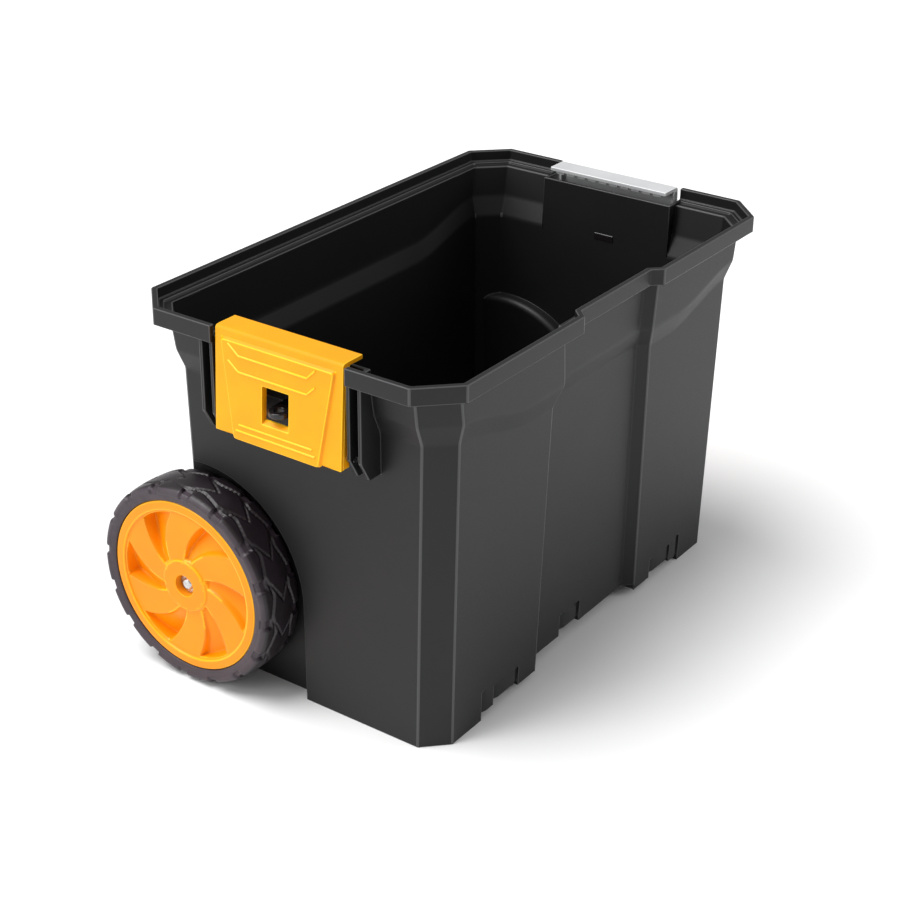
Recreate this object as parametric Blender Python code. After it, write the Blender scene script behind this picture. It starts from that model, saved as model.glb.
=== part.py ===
"""Wheeled storage tub: an open moulded bin that tips onto two rear wheels, with a latch at each end.

Metres, +Z up. The origin is the centre of the tub's underside. +X points to the right-hand end,
-Y to the front wall and +Y to the rear wall, where the wheels are. "Out" is the distance from the
middle of the tub along X, so the same numbers serve both ends: the left end is the right end
turned half round.
"""

import math

import bmesh
import bpy
from mathutils import Vector

# Overall sizes
RIM_LENGTH = 0.4976
RIM_WIDTH = 0.3076
TUB_HEIGHT = 0.330
TYRE_RADIUS = 0.090
WHEEL_WIDTH = 0.044

# Tub walls
WALL = 0.003
FLOOR = 0.003
LOWER_DRAFT_END = 0.0024
LOWER_DRAFT_SIDE = 0.0056
SHOULDER_STEP_END = 0.0078
SHOULDER_STEP_SIDE = 0.0058
UPPER_DRAFT_END = 0.0040
UPPER_DRAFT_SIDE = 0.0004
SHOULDER_HEIGHT = 0.018
SHOULDER_DROP = 0.040
SHOULDER_DIP = 0.0195
DIP_RUN = 0.095
DIP_STEPS = 5
BASE_CORNER = 0.020
UPPER_CORNER = 0.0245

# Rim
LIP_OVERHANG_END = 0.0133
LIP_OVERHANG_SIDE = 0.0109
LIP_HEIGHT = 0.0145
LIP_CORNER = 0.030
RIM_EDGE = 0.005
LEDGE_DROP = 0.010

# Recess in the middle of the front wall: its depth, and how far each end panel runs from the corner
RECESS_DEPTH = 0.0085
PANEL_AT_BASE = 0.1198
PANEL_AT_SHOULDER = 0.1277
PANEL_AT_UPPER_WALL = 0.1385
PANEL_AT_RIM = 0.1568

# Stepped relief under the front wall, each step measured in from the corner foot
FOOT_LENGTH = 0.040
TOE_LENGTH = 0.017
ARCH_LENGTH = 0.0365
TOE_RISE = 0.0063
ARCH_RISE = 0.0103
INNER_FOOT_RISE = 0.0059
MIDDLE_RISE = 0.0115
DRAIN_RISE = 0.0165
DRAIN_CENTRE = -0.016
DRAIN_WIDTH = 0.032
RELIEF_DEPTH = 0.023

# Wheel wells and the bosses that hold the stub axles
AXLE_SETBACK = 0.0291
AXLE_RISE = 0.0005
WELL_DEPTH = 0.0108
WELL_CLEARANCE = 0.009
BOSS_RADIUS = 0.016
BOSS_LENGTH = 0.019
RIB_THICKNESS = 0.004

# Latch bays, with a pair of cheeks on each side
BAY_HALF_WIDTH = 0.065
CHEEK = 0.003
CHEEK_GAP = 0.0075
CHEEK_DROP = 0.0755
CHEEK_TAPER = 0.017
CHEEK_BACK = 0.0095
BAY_STEP = 0.0003

# Padlock eyes, each pushed out through a slot in the bay wall until its head meets the wall
EYE_RADIUS = 0.009
EYE_HOLE_RADIUS = 0.004
EYE_THICKNESS = 0.0045
EYE_REACH = 0.022
EYE_DROP = 0.053
EYE_HEAD = 0.002
EYE_HEAD_HALF = 0.012
EYE_HEAD_EDGE = 0.0025

# Latches
LATCH_SIDE_GAP = 0.003
LATCH_PLATE = 0.003
LATCH_LEAN = 0.005
LATCH_PROUD = 0.0017
LATCH_ABOVE_RIM = 0.001
LATCH_DROP = 0.085
LATCH_FLANGE = 0.0035
LATCH_EDGE = 0.0025
LATCH_FLANGE_REACH = 0.0255
PANEL_PROUD = 0.0025
PANEL_DROP = 0.002
PANEL_TOP_HALF = 0.055
PANEL_FOOT_HALF = 0.043
PANEL_TOP_INSET = 0.006
WINDOW_HALF_WIDTH = 0.013
WINDOW_HEIGHT = 0.028
WINDOW_BELOW_EYE = 0.0065
WINDOW_REACH = 0.020
RETURN_THICKNESS = 0.0025
RETURN_DEPTH_TOP = 0.005
RETURN_DEPTH_FOOT = 0.0075
PIN_RADIUS = 0.002
PIN_CLEARANCE = 0.0004
PIN_END_GAP = 0.0003
PIN_SETBACK = 0.0085
PIN_RISE = 0.0075
KNUCKLE_RADIUS = 0.0045
KNUCKLE_LENGTH = 0.020
KNUCKLE_WEB = 0.0055
KNUCKLE_WEB_INSET = 0.0006

# Wheels
GAP = 0.0003
AXLE_RADIUS = 0.005
BORE_CLEARANCE = 0.00025
COLLAR_RADIUS = 0.009
COLLAR_LENGTH = 0.0022
WASHER_THICKNESS = 0.0015
SMALL_WASHER_RADIUS = 0.0082
LARGE_WASHER_RADIUS = 0.012
TYRE_DEPTH = 0.014
HUB_BARREL = 0.0055
HUB_RING = 0.009
HUB_BOSS_RADIUS = 0.022
HUB_WEB = 0.012
HUB_DISH = 0.0025
HUB_INSET = 0.0018
BORE_MOUTH_RADIUS = 0.0095
BORE_MOUTH_DEPTH = 0.009
BLADES = 6
POCKET_DEPTH = 0.008
POCKET_START = math.radians(10)
POCKET_WIDTH = math.radians(20)
POCKET_SWEEP = math.radians(-30)
POCKET_SPREAD = math.radians(10)
POCKET_STEPS = 4
TYRE_SHOULDER = 0.006
TREAD_CROWN = 0.0015
PUSH_NUT_THICKNESS = 0.0012
AXLE_TIP = 0.002
NUT_ACROSS_FLATS = 0.017
NUT_THICKNESS = 0.008
SHANK_PAST_NUT = 0.002

ROUND = 48
SMALL_ROUND = 32
PAST = 0.010

# Heights and outs that several pieces share
LIP_BOTTOM = TUB_HEIGHT - LIP_HEIGHT
LEDGE_TOP = TUB_HEIGHT - LEDGE_DROP
SHOULDER_TOP = TUB_HEIGHT - SHOULDER_DROP
SHOULDER_BOTTOM = SHOULDER_TOP - SHOULDER_HEIGHT
RIM_OUT = RIM_LENGTH / 2
RIM_SIDE = RIM_WIDTH / 2
UPPER_TOP_OUT = RIM_OUT - LIP_OVERHANG_END
UPPER_TOP_SIDE = RIM_SIDE - LIP_OVERHANG_SIDE
UPPER_OUT = UPPER_TOP_OUT - UPPER_DRAFT_END
UPPER_SIDE = UPPER_TOP_SIDE - UPPER_DRAFT_SIDE
LOWER_OUT = UPPER_OUT - SHOULDER_STEP_END
LOWER_SIDE = UPPER_SIDE - SHOULDER_STEP_SIDE
BASE_OUT = LOWER_OUT - LOWER_DRAFT_END
BASE_SIDE = LOWER_SIDE - LOWER_DRAFT_SIDE
BAY_OUT = LOWER_OUT + BAY_STEP

HUB_RADIUS = TYRE_RADIUS - TYRE_DEPTH
AXLE_Y = BASE_SIDE - AXLE_SETBACK
AXLE_Z = TYRE_RADIUS + AXLE_RISE
WELL_RADIUS = TYRE_RADIUS + WELL_CLEARANCE
WELL_OUT = BASE_OUT - WELL_DEPTH
BOSS_END_OUT = WELL_OUT - WALL - BOSS_LENGTH
COLLAR_OUT = WELL_OUT + GAP
HUB_WASHER_OUT = COLLAR_OUT + COLLAR_LENGTH + GAP
HUB_BACK_OUT = HUB_WASHER_OUT + WASHER_THICKNESS + GAP
TYRE_BACK_OUT = HUB_BACK_OUT - HUB_INSET
TYRE_FACE_OUT = TYRE_BACK_OUT + WHEEL_WIDTH
HUB_FACE_OUT = TYRE_FACE_OUT - HUB_INSET
MOUTH_FLOOR_OUT = HUB_FACE_OUT - BORE_MOUTH_DEPTH

PIN_OUT = RIM_OUT - PIN_SETBACK
LATCH_FOOT = TUB_HEIGHT - LATCH_DROP
PIN_Z = LATCH_FOOT + PIN_RISE
EYE_TOP = TUB_HEIGHT - EYE_DROP
EYE_OUT = BAY_OUT + EYE_REACH
EYE_HEAD_FACE = LOWER_OUT - WALL - GAP


# Meshes and booleans

def add_object(name, mesh, colour=None, roughness=0.5, metallic=0.0):
    """Link a mesh into the scene; an object with no colour is a helper that is left out of renders."""
    mesh.name = name
    obj = bpy.data.objects.new(name, mesh)
    bpy.context.scene.collection.objects.link(obj)
    if colour is None:
        obj.hide_render = True
        obj.display_type = "WIRE"
        return obj
    material = bpy.data.materials.new(name)
    material.use_nodes = True
    shader = material.node_tree.nodes["Principled BSDF"]
    shader.inputs["Base Color"].default_value = (*colour, 1.0)
    shader.inputs["Roughness"].default_value = roughness
    shader.inputs["Metallic"].default_value = metallic
    mesh.materials.append(material)
    return obj


def finished(bm):
    """Turn a closed bmesh into a mesh whose faces all point out."""
    bmesh.ops.recalc_face_normals(bm, faces=bm.faces)
    mesh = bpy.data.meshes.new("shape")
    bm.to_mesh(mesh)
    bm.free()
    return mesh


def loft(rings):
    """Closed solid through rings of points that match one to one."""
    bm = bmesh.new()
    loops = [[bm.verts.new(point) for point in ring] for ring in rings]
    for below, above in zip(loops, loops[1:]):
        for i in range(len(below)):
            j = (i + 1) % len(below)
            bm.faces.new((below[i], below[j], above[j], above[i]))
    bm.faces.new(reversed(loops[0]))
    bm.faces.new(loops[-1])
    return finished(bm)


def prism(outline, axis, low, high):
    """Outline of the two other coordinates, in XYZ order, extruded along axis from low to high."""
    rings = []
    for level in (low, high):
        ring = []
        for a, b in outline:
            point = [a, b]
            point.insert("XYZ".index(axis), level)
            ring.append(Vector(point))
        rings.append(ring)
    return loft(rings)


def block(low, high):
    outline = ((low[0], low[1]), (high[0], low[1]), (high[0], high[1]), (low[0], high[1]))
    return prism(outline, "Z", low[2], high[2])


def circle(radius, steps, centre=(0.0, 0.0)):
    turn = 2 * math.pi / steps
    return [
        (centre[0] + radius * math.cos(turn * i), centre[1] + radius * math.sin(turn * i))
        for i in range(steps)
    ]


def turned(profile, steps):
    """Profile of (radius, x) pairs spun about the X axis into a ring."""
    bm = bmesh.new()
    verts = [bm.verts.new((x, radius, 0.0)) for radius, x in profile]
    edges = [bm.edges.new((verts[i], verts[i - 1])) for i in range(len(verts))]
    bmesh.ops.spin(
        bm, geom=verts + edges, cent=(0, 0, 0), axis=(1, 0, 0), angle=2 * math.pi, steps=steps,
        use_merge=True,
    )
    return finished(bm)


def combine(target, operation, *meshes):
    """Give target one Boolean for each mesh, each held by a hidden helper."""
    for mesh in meshes:
        helper = add_object(f"{target.name}_{operation.lower()}_{len(target.modifiers)}", mesh)
        helper.matrix_world = target.matrix_world
        add_boolean(target, operation, helper)


def add_boolean(target, operation, helper):
    modifier = target.modifiers.new(helper.name, "BOOLEAN")
    modifier.operation = operation
    modifier.object = helper
    modifier.solver = "EXACT"


def shade_round(*objects):
    for obj in objects:
        obj.data.shade_smooth()
        obj.data.set_sharp_from_angle(angle=math.radians(35))


# Tub outline: an octagon whose front wall steps back in the middle

def half_ring(out, side, corner, panel, inset, dip, draft_per_metre, z):
    """Front right quarter points, from the middle of the front wall to the corner, for one level."""
    half_x = out - inset
    half_y = side - inset
    chamfer = corner - inset * (2 - math.sqrt(2))
    corner_x = half_x - chamfer
    jog_x = out - corner - panel + inset * (math.sqrt(2) - 1)
    points = [(jog_x - RECESS_DEPTH, half_y - RECESS_DEPTH, 1.0), (jog_x, half_y, 1.0)]
    for step in range(DIP_STEPS + 1):
        along = step / DIP_STEPS
        sunk = 1 - along * along * (3 - 2 * along)
        points.append((corner_x - DIP_RUN * (1 - along), half_y, sunk))
    front = [(x, y - sunk * dip * draft_per_metre, z - sunk * dip) for x, y, sunk in points]
    return front, (half_x, half_y - chamfer, z)


def tub_ring(out, side, corner, panel, z, inset=0.0, dip=0.0, draft_per_metre=0.0):
    """All the points of one level, anticlockwise from the left of the front recess."""
    front, turn = half_ring(out, side, corner, panel, inset, dip, draft_per_metre, z)
    rear = front[2:]
    ring = [Vector((x, -y, height)) for x, y, height in front]
    ring.append(Vector((turn[0], -turn[1], z)))
    ring.append(Vector(turn))
    ring += [Vector(point) for point in reversed(rear)]
    ring += [Vector((-x, y, height)) for x, y, height in rear]
    ring.append(Vector((-turn[0], turn[1], z)))
    ring.append(Vector((-turn[0], -turn[1], z)))
    ring += [Vector((-x, -y, height)) for x, y, height in reversed(front)]
    return ring


def wall_rings(lowest, inset):
    """Levels of the lower wall, the dipped shoulder and the upper wall, from lowest upwards."""
    share = lowest / SHOULDER_BOTTOM
    lower_slope = LOWER_DRAFT_SIDE / SHOULDER_BOTTOM
    upper_slope = UPPER_DRAFT_SIDE / (LIP_BOTTOM - SHOULDER_TOP)
    return [
        tub_ring(BASE_OUT + LOWER_DRAFT_END * share, BASE_SIDE + LOWER_DRAFT_SIDE * share,
                 BASE_CORNER, PANEL_AT_BASE, lowest, inset),
        tub_ring(LOWER_OUT, LOWER_SIDE, BASE_CORNER, PANEL_AT_SHOULDER, SHOULDER_BOTTOM, inset,
                 SHOULDER_DIP, lower_slope),
        tub_ring(UPPER_OUT, UPPER_SIDE, UPPER_CORNER, PANEL_AT_UPPER_WALL, SHOULDER_TOP, inset,
                 SHOULDER_DIP, upper_slope),
    ]


def tub_outside():
    rings = wall_rings(0.0, 0.0)
    rings.append(tub_ring(UPPER_TOP_OUT, UPPER_TOP_SIDE, UPPER_CORNER, PANEL_AT_UPPER_WALL, LIP_BOTTOM))
    rings.append(tub_ring(RIM_OUT, RIM_SIDE, LIP_CORNER, PANEL_AT_RIM, LIP_BOTTOM))
    rings.append(tub_ring(RIM_OUT, RIM_SIDE, LIP_CORNER, PANEL_AT_RIM, TUB_HEIGHT))
    return loft(rings)


def tub_inside():
    rings = wall_rings(FLOOR, WALL)
    rings.append(
        tub_ring(UPPER_TOP_OUT, UPPER_TOP_SIDE, UPPER_CORNER, PANEL_AT_UPPER_WALL, LEDGE_TOP, WALL))
    rings.append(tub_ring(RIM_OUT, RIM_SIDE, LIP_CORNER, PANEL_AT_RIM, LEDGE_TOP, RIM_EDGE))
    rings.append(tub_ring(RIM_OUT, RIM_SIDE, LIP_CORNER, PANEL_AT_RIM, TUB_HEIGHT + PAST, RIM_EDGE))
    return loft(rings)


def wheel_well(end, grown):
    """Arch over one wheel, open below, from its inner face outwards; grown by the wall for the inside."""
    radius = WELL_RADIUS + grown
    arch = [(AXLE_Y - radius, -PAST - grown)]
    for step in range(ROUND // 2 + 1):
        angle = math.pi * (1 - 2 * step / ROUND)
        arch.append((AXLE_Y + radius * math.cos(angle), AXLE_Z + radius * math.sin(angle)))
    arch.append((AXLE_Y + radius, -PAST - grown))
    low, high = sorted((end * (WELL_OUT - grown), end * (TYRE_FACE_OUT + PAST)))
    return prism(arch, "X", low, high)


def relief_outline(grown):
    """Stepped notches under the front wall; grown makes one plain step over them all."""
    foot = BASE_OUT - BASE_CORNER - FOOT_LENGTH
    if grown:
        return ((-foot - grown, -PAST), (-foot - grown, DRAIN_RISE + grown),
                (foot + grown, DRAIN_RISE + grown), (foot + grown, -PAST))
    toe = foot - TOE_LENGTH
    arch = toe - ARCH_LENGTH
    middle = BASE_OUT - BASE_CORNER - PANEL_AT_BASE
    steps = [(foot, -PAST), (foot, TOE_RISE), (toe, TOE_RISE), (toe, ARCH_RISE), (arch, ARCH_RISE),
             (arch, INNER_FOOT_RISE), (middle, INNER_FOOT_RISE), (middle, MIDDLE_RISE)]
    drain_left = DRAIN_CENTRE - DRAIN_WIDTH / 2
    drain_right = DRAIN_CENTRE + DRAIN_WIDTH / 2
    drain = [(drain_left, MIDDLE_RISE), (drain_left, DRAIN_RISE),
             (drain_right, DRAIN_RISE), (drain_right, MIDDLE_RISE)]
    return [(-x, z) for x, z in steps] + drain + steps[::-1]


def relief(grown):
    back = RELIEF_DEPTH - BASE_SIDE + grown
    return prism(relief_outline(grown), "Y", -RIM_SIDE - PAST, back)


def bay(end, grown):
    """Space for one latch, cut through the rim and the flare of the wall."""
    half = BAY_HALF_WIDTH + grown
    near, far = sorted((end * (BAY_OUT - grown), end * (RIM_OUT + PAST)))
    if grown:
        return block((near, -half, SHOULDER_BOTTOM - grown), (far, half, LEDGE_TOP))
    foot = TUB_HEIGHT - CHEEK_DROP - CHEEK_TAPER - CHEEK
    return block((near, -half, foot), (far, half, TUB_HEIGHT + PAST))


def cheeks(end):
    """Two plates on each side of a bay, hanging from the rim with their lower corners cut back."""
    root = LOWER_OUT - WALL / 2
    front = RIM_OUT - GAP
    shin = TUB_HEIGHT - CHEEK_DROP
    outline = [(root, LIP_BOTTOM + WALL / 2), (front, LIP_BOTTOM + WALL / 2), (front, shin),
               (front - CHEEK_BACK, shin - CHEEK_TAPER), (root, shin - CHEEK_TAPER)]
    outline = [(end * out, z) for out, z in outline]
    inner = BAY_HALF_WIDTH + CHEEK
    outer = inner + CHEEK_GAP
    meshes = []
    for side in (-1, 1):
        for low, high in ((BAY_HALF_WIDTH - CHEEK / 2, inner), (outer, outer + CHEEK)):
            meshes.append(prism(outline, "Y", *sorted((side * low, side * high))))
    return meshes


def boss(end):
    """Thick barrel inside a wheel well's wall, round the stub axle, on a rib that stands on the floor."""
    low, high = sorted((end * BOSS_END_OUT, end * (WELL_OUT - WALL / 2)))
    barrel = prism(circle(BOSS_RADIUS, SMALL_ROUND, (AXLE_Y, AXLE_Z)), "X", low, high)
    start = end * (BOSS_END_OUT + WALL)
    near, far = sorted((start, end * (WELL_OUT - WALL / 2)))
    half = RIB_THICKNESS / 2
    rib = block((near, AXLE_Y - half, FLOOR / 2), (far, AXLE_Y + half, AXLE_Z - BOSS_RADIUS / 2))
    return barrel, rib


def axle_hole(end):
    low, high = sorted((end * (BOSS_END_OUT - PAST), end * (WELL_OUT + PAST)))
    hole = circle(AXLE_RADIUS + BORE_CLEARANCE, SMALL_ROUND, (AXLE_Y, AXLE_Z))
    return prism(hole, "X", low, high)


def pin_holes(end):
    reach = BAY_HALF_WIDTH + CHEEK + CHEEK_GAP / 2
    return prism(circle(PIN_RADIUS + PIN_CLEARANCE, SMALL_ROUND // 2, (end * PIN_OUT, PIN_Z)), "Y",
                 -reach, reach)


def eye_tab(end):
    """Flat tab that passes through the bay wall and has a round end."""
    root = EYE_HEAD_FACE - EYE_HEAD / 2
    outline = [(root, -EYE_RADIUS), (EYE_OUT, -EYE_RADIUS)]
    steps = SMALL_ROUND // 2
    for step in range(1, steps):
        angle = math.pi * (step / steps - 0.5)
        outline.append((EYE_OUT + EYE_RADIUS * math.cos(angle), EYE_RADIUS * math.sin(angle)))
    outline += [(EYE_OUT, EYE_RADIUS), (root, EYE_RADIUS)]
    outline = [(end * out, y) for out, y in outline]
    return prism(outline, "Z", EYE_TOP - EYE_THICKNESS, EYE_TOP)


def eye_head(end):
    """Head inside the tub, which stops the tab from being drawn out."""
    near, far = sorted((end * (EYE_HEAD_FACE - EYE_HEAD), end * EYE_HEAD_FACE))
    return block((near, -EYE_HEAD_HALF, EYE_TOP - EYE_THICKNESS - EYE_HEAD_EDGE),
                 (far, EYE_HEAD_HALF, EYE_TOP + EYE_HEAD_EDGE))


def eye_slot(end):
    """Slot through the bay wall, with a gap all round the tab."""
    near, far = sorted((end * (BAY_OUT - WALL - PAST), end * (BAY_OUT + PAST)))
    return block((near, -EYE_RADIUS - GAP, EYE_TOP - EYE_THICKNESS - GAP),
                 (far, EYE_RADIUS + GAP, EYE_TOP + GAP))


def make_padlock_eye(name, end):
    """The hole is upright, so that a shackle drops through it in front of the shut latch."""
    eye = add_object(name, eye_tab(end), (0.012, 0.012, 0.013), 0.25)
    combine(eye, "UNION", eye_head(end))
    hole = circle(EYE_HOLE_RADIUS, SMALL_ROUND // 2, (end * EYE_OUT, 0.0))
    combine(eye, "DIFFERENCE", prism(hole, "Z", EYE_TOP - EYE_THICKNESS - PAST, EYE_TOP + PAST))


def make_tub():
    ends = (-1, 1)
    inside = add_object("tub_inside", tub_inside())
    combine(inside, "DIFFERENCE", *(wheel_well(end, WALL) for end in ends))
    combine(inside, "DIFFERENCE", *(bay(end, WALL) for end in ends), relief(FLOOR))
    tub = add_object("tub_body", tub_outside(), (0.035, 0.035, 0.037), 0.55)
    combine(tub, "UNION", *(plate for end in ends for plate in cheeks(end)))
    combine(tub, "DIFFERENCE", *(wheel_well(end, 0.0) for end in ends))
    combine(tub, "DIFFERENCE", *(bay(end, 0.0) for end in ends), relief(0.0))
    add_boolean(tub, "DIFFERENCE", inside)
    for end in ends:
        combine(tub, "UNION", *boss(end))
        combine(tub, "DIFFERENCE", axle_hole(end), pin_holes(end), eye_slot(end))
    return tub


# Latches, built for the right-hand end about their hinge pin

def latch_plate_out(z):
    """How far out the front of the latch plate is at a height."""
    top = RIM_OUT + LATCH_PROUD - LATCH_LEAN
    share = (TUB_HEIGHT - z) / (TUB_HEIGHT - LATCH_FOOT)
    return top + LATCH_LEAN * share


def from_pin(points):
    return [(out - PIN_OUT, z - PIN_Z) for out, z in points]


def latch_plate(half_width):
    """Leaning plate with a flange that lies over the wall of the bay."""
    top = TUB_HEIGHT + LATCH_ABOVE_RIM
    under = top - LATCH_FLANGE
    tip = latch_plate_out(top) - LATCH_FLANGE_REACH + LATCH_EDGE
    foot_out = latch_plate_out(LATCH_FOOT)
    outline = [(foot_out, LATCH_FOOT), (latch_plate_out(top - LATCH_EDGE), top - LATCH_EDGE),
               (latch_plate_out(top) - LATCH_EDGE, top), (tip, top), (tip, under),
               (latch_plate_out(under) - LATCH_PLATE, under), (foot_out - LATCH_PLATE, LATCH_FOOT)]
    return prism(from_pin(outline), "Y", -half_width, half_width)


def latch_panel():
    """Raised middle of the plate, wider at the top than at the foot."""
    top = TUB_HEIGHT - PANEL_TOP_INSET
    foot = LATCH_FOOT - PANEL_DROP
    rings = []
    for offset in (-LATCH_PLATE / 2, PANEL_PROUD):
        ring = []
        for y, z in ((-PANEL_FOOT_HALF, foot), (PANEL_FOOT_HALF, foot),
                     (PANEL_TOP_HALF, top), (-PANEL_TOP_HALF, top)):
            ring.append(Vector((latch_plate_out(z) + offset - PIN_OUT, y, z - PIN_Z)))
        rings.append(ring)
    return loft(rings)


def latch_return(low, high):
    """Thin side wall behind one edge of the plate."""
    under = TUB_HEIGHT + LATCH_ABOVE_RIM - LATCH_FLANGE / 2
    back = LATCH_PLATE / 2
    outline = [(latch_plate_out(LATCH_FOOT) - back, LATCH_FOOT), (latch_plate_out(under) - back, under),
               (latch_plate_out(under) - LATCH_PLATE - RETURN_DEPTH_TOP, under),
               (latch_plate_out(LATCH_FOOT) - LATCH_PLATE - RETURN_DEPTH_FOOT, LATCH_FOOT)]
    return prism(from_pin(outline), "Y", low, high)


def latch_knuckle(low, high):
    """Barrel round the pin with a web to the plate."""
    barrel = prism(circle(KNUCKLE_RADIUS, SMALL_ROUND // 2), "Y", low, high)
    reach = latch_plate_out(PIN_Z) - LATCH_PLATE / 2 - PIN_OUT
    web = block((0.0, low + KNUCKLE_WEB_INSET, -KNUCKLE_WEB / 2),
                (reach, high - KNUCKLE_WEB_INSET, KNUCKLE_WEB / 2))
    return barrel, web


def make_latch(name, end, colour):
    half_width = BAY_HALF_WIDTH - LATCH_SIDE_GAP
    latch = add_object(name, latch_plate(half_width), colour, 0.4)
    latch.location = (end * PIN_OUT, 0.0, PIN_Z)
    latch.rotation_euler.z = 0.0 if end > 0 else math.pi
    bpy.context.view_layer.update()
    combine(latch, "UNION", latch_panel())
    for side in (-1, 1):
        low, high = sorted((side * (half_width - RETURN_THICKNESS), side * (half_width - GAP)))
        combine(latch, "UNION", latch_return(low, high))
        low, high = sorted((side * (half_width - KNUCKLE_LENGTH), side * (half_width - 2 * GAP)))
        combine(latch, "UNION", *latch_knuckle(low, high))
    foot = EYE_TOP - EYE_THICKNESS - WINDOW_BELOW_EYE - PIN_Z
    window = block((0.0, -WINDOW_HALF_WIDTH, foot), (WINDOW_REACH, WINDOW_HALF_WIDTH, foot + WINDOW_HEIGHT))
    bore = prism(circle(PIN_RADIUS + PIN_CLEARANCE, SMALL_ROUND // 2), "Y",
                 -half_width - PAST, half_width + PAST)
    combine(latch, "DIFFERENCE", window, bore)
    return latch


def make_latch_pin(name, end):
    """Rod across the bay, with each end held in an inner cheek."""
    reach = BAY_HALF_WIDTH + CHEEK - PIN_END_GAP
    pin = add_object(name, prism(circle(PIN_RADIUS, SMALL_ROUND // 2), "Y", -reach, reach),
                     (0.6, 0.6, 0.62), 0.25, 1.0)
    pin.location = (end * PIN_OUT, 0.0, PIN_Z)
    return pin


# Wheels and stub axles, built for the right-hand end about the axle, with x measured as "out"

def place_on_axle(obj, end):
    obj.location = (0.0, AXLE_Y, AXLE_Z)
    obj.rotation_euler.z = 0.0 if end > 0 else math.pi
    bpy.context.view_layer.update()


def turned_part(name, end, profile, steps, colour, roughness, metallic):
    part = add_object(name, turned(profile, steps), colour, roughness, metallic)
    shade_round(part)
    place_on_axle(part, end)
    return part


def ring_profile(inner, outer, low, high):
    return [(inner, low), (outer, low), (outer, high), (inner, high)]


def hub_profile():
    """Barrel, dished web and central boss with a wide mouth."""
    bore = AXLE_RADIUS + BORE_CLEARANCE
    web_face = HUB_FACE_OUT - HUB_DISH
    web_back = web_face - HUB_WEB
    ring_inner = HUB_RADIUS - HUB_RING
    return [
        (bore, HUB_BACK_OUT), (HUB_BOSS_RADIUS, HUB_BACK_OUT), (HUB_BOSS_RADIUS, web_back),
        (HUB_RADIUS - HUB_BARREL, web_back), (HUB_RADIUS - HUB_BARREL, HUB_BACK_OUT),
        (HUB_RADIUS, HUB_BACK_OUT), (HUB_RADIUS, HUB_FACE_OUT), (ring_inner, HUB_FACE_OUT),
        (ring_inner - HUB_DISH / 2, web_face), (HUB_BOSS_RADIUS + HUB_DISH / 2, web_face),
        (HUB_BOSS_RADIUS, HUB_FACE_OUT), (BORE_MOUTH_RADIUS, HUB_FACE_OUT),
        (BORE_MOUTH_RADIUS - 2 * GAP, MOUTH_FLOOR_OUT), (bore, MOUTH_FLOOR_OUT),
    ]


def blade_pocket(index):
    """Curved hollow in the web between two swept blades."""
    inner = HUB_BOSS_RADIUS + HUB_DISH
    outer = HUB_RADIUS - HUB_RING - HUB_DISH / 2
    start = 2 * math.pi * index / BLADES + POCKET_START
    edges = []
    for angle_in, sweep, turn in ((0.0, POCKET_SWEEP, 1),
                                  (POCKET_WIDTH, POCKET_SWEEP + POCKET_SPREAD, -1)):
        edge = []
        for step in range(POCKET_STEPS + 1):
            share = step / POCKET_STEPS
            radius = inner + (outer - inner) * share
            angle = start + angle_in + sweep * share
            edge.append((radius * math.cos(angle), radius * math.sin(angle)))
        edges += edge[::turn]
    web_face = HUB_FACE_OUT - HUB_DISH
    return prism(edges, "X", web_face - POCKET_DEPTH, web_face + PAST / 2)


def make_hub(name, end):
    hub = turned_part(name, end, hub_profile(), ROUND, (0.95, 0.42, 0.02), 0.35, 0.0)
    combine(hub, "DIFFERENCE", *(blade_pocket(index) for index in range(BLADES)))
    return hub


def tyre_profile():
    """Solid tyre: upright sidewalls, bevelled shoulders and a slightly crowned tread."""
    bead = HUB_RADIUS + GAP
    edge = TYRE_RADIUS - TREAD_CROWN
    middle = (TYRE_BACK_OUT + TYRE_FACE_OUT) / 2
    return [
        (bead, TYRE_BACK_OUT + HUB_INSET), (bead + TYRE_SHOULDER, TYRE_BACK_OUT),
        (edge - TYRE_SHOULDER / 2, TYRE_BACK_OUT), (edge, TYRE_BACK_OUT + TYRE_SHOULDER),
        (TYRE_RADIUS, middle), (edge, TYRE_FACE_OUT - TYRE_SHOULDER),
        (edge - TYRE_SHOULDER / 2, TYRE_FACE_OUT), (bead + TYRE_SHOULDER, TYRE_FACE_OUT),
        (bead, TYRE_FACE_OUT - HUB_INSET),
    ]


def stub_axle_profile():
    """Shank through the boss, collar against the well and journal for the hub."""
    shank = AXLE_RADIUS
    inner_end = BOSS_END_OUT - GAP - WASHER_THICKNESS - GAP - NUT_THICKNESS - SHANK_PAST_NUT
    outer_end = MOUTH_FLOOR_OUT + WASHER_THICKNESS + PUSH_NUT_THICKNESS + 3 * GAP + AXLE_TIP
    chamfer = AXLE_TIP / 2
    return [
        (0.0, inner_end), (shank - chamfer, inner_end), (shank, inner_end + chamfer),
        (shank, COLLAR_OUT), (COLLAR_RADIUS, COLLAR_OUT), (COLLAR_RADIUS, COLLAR_OUT + COLLAR_LENGTH),
        (shank, COLLAR_OUT + COLLAR_LENGTH), (shank, outer_end - chamfer),
        (shank - chamfer, outer_end), (0.0, outer_end),
    ]


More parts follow.
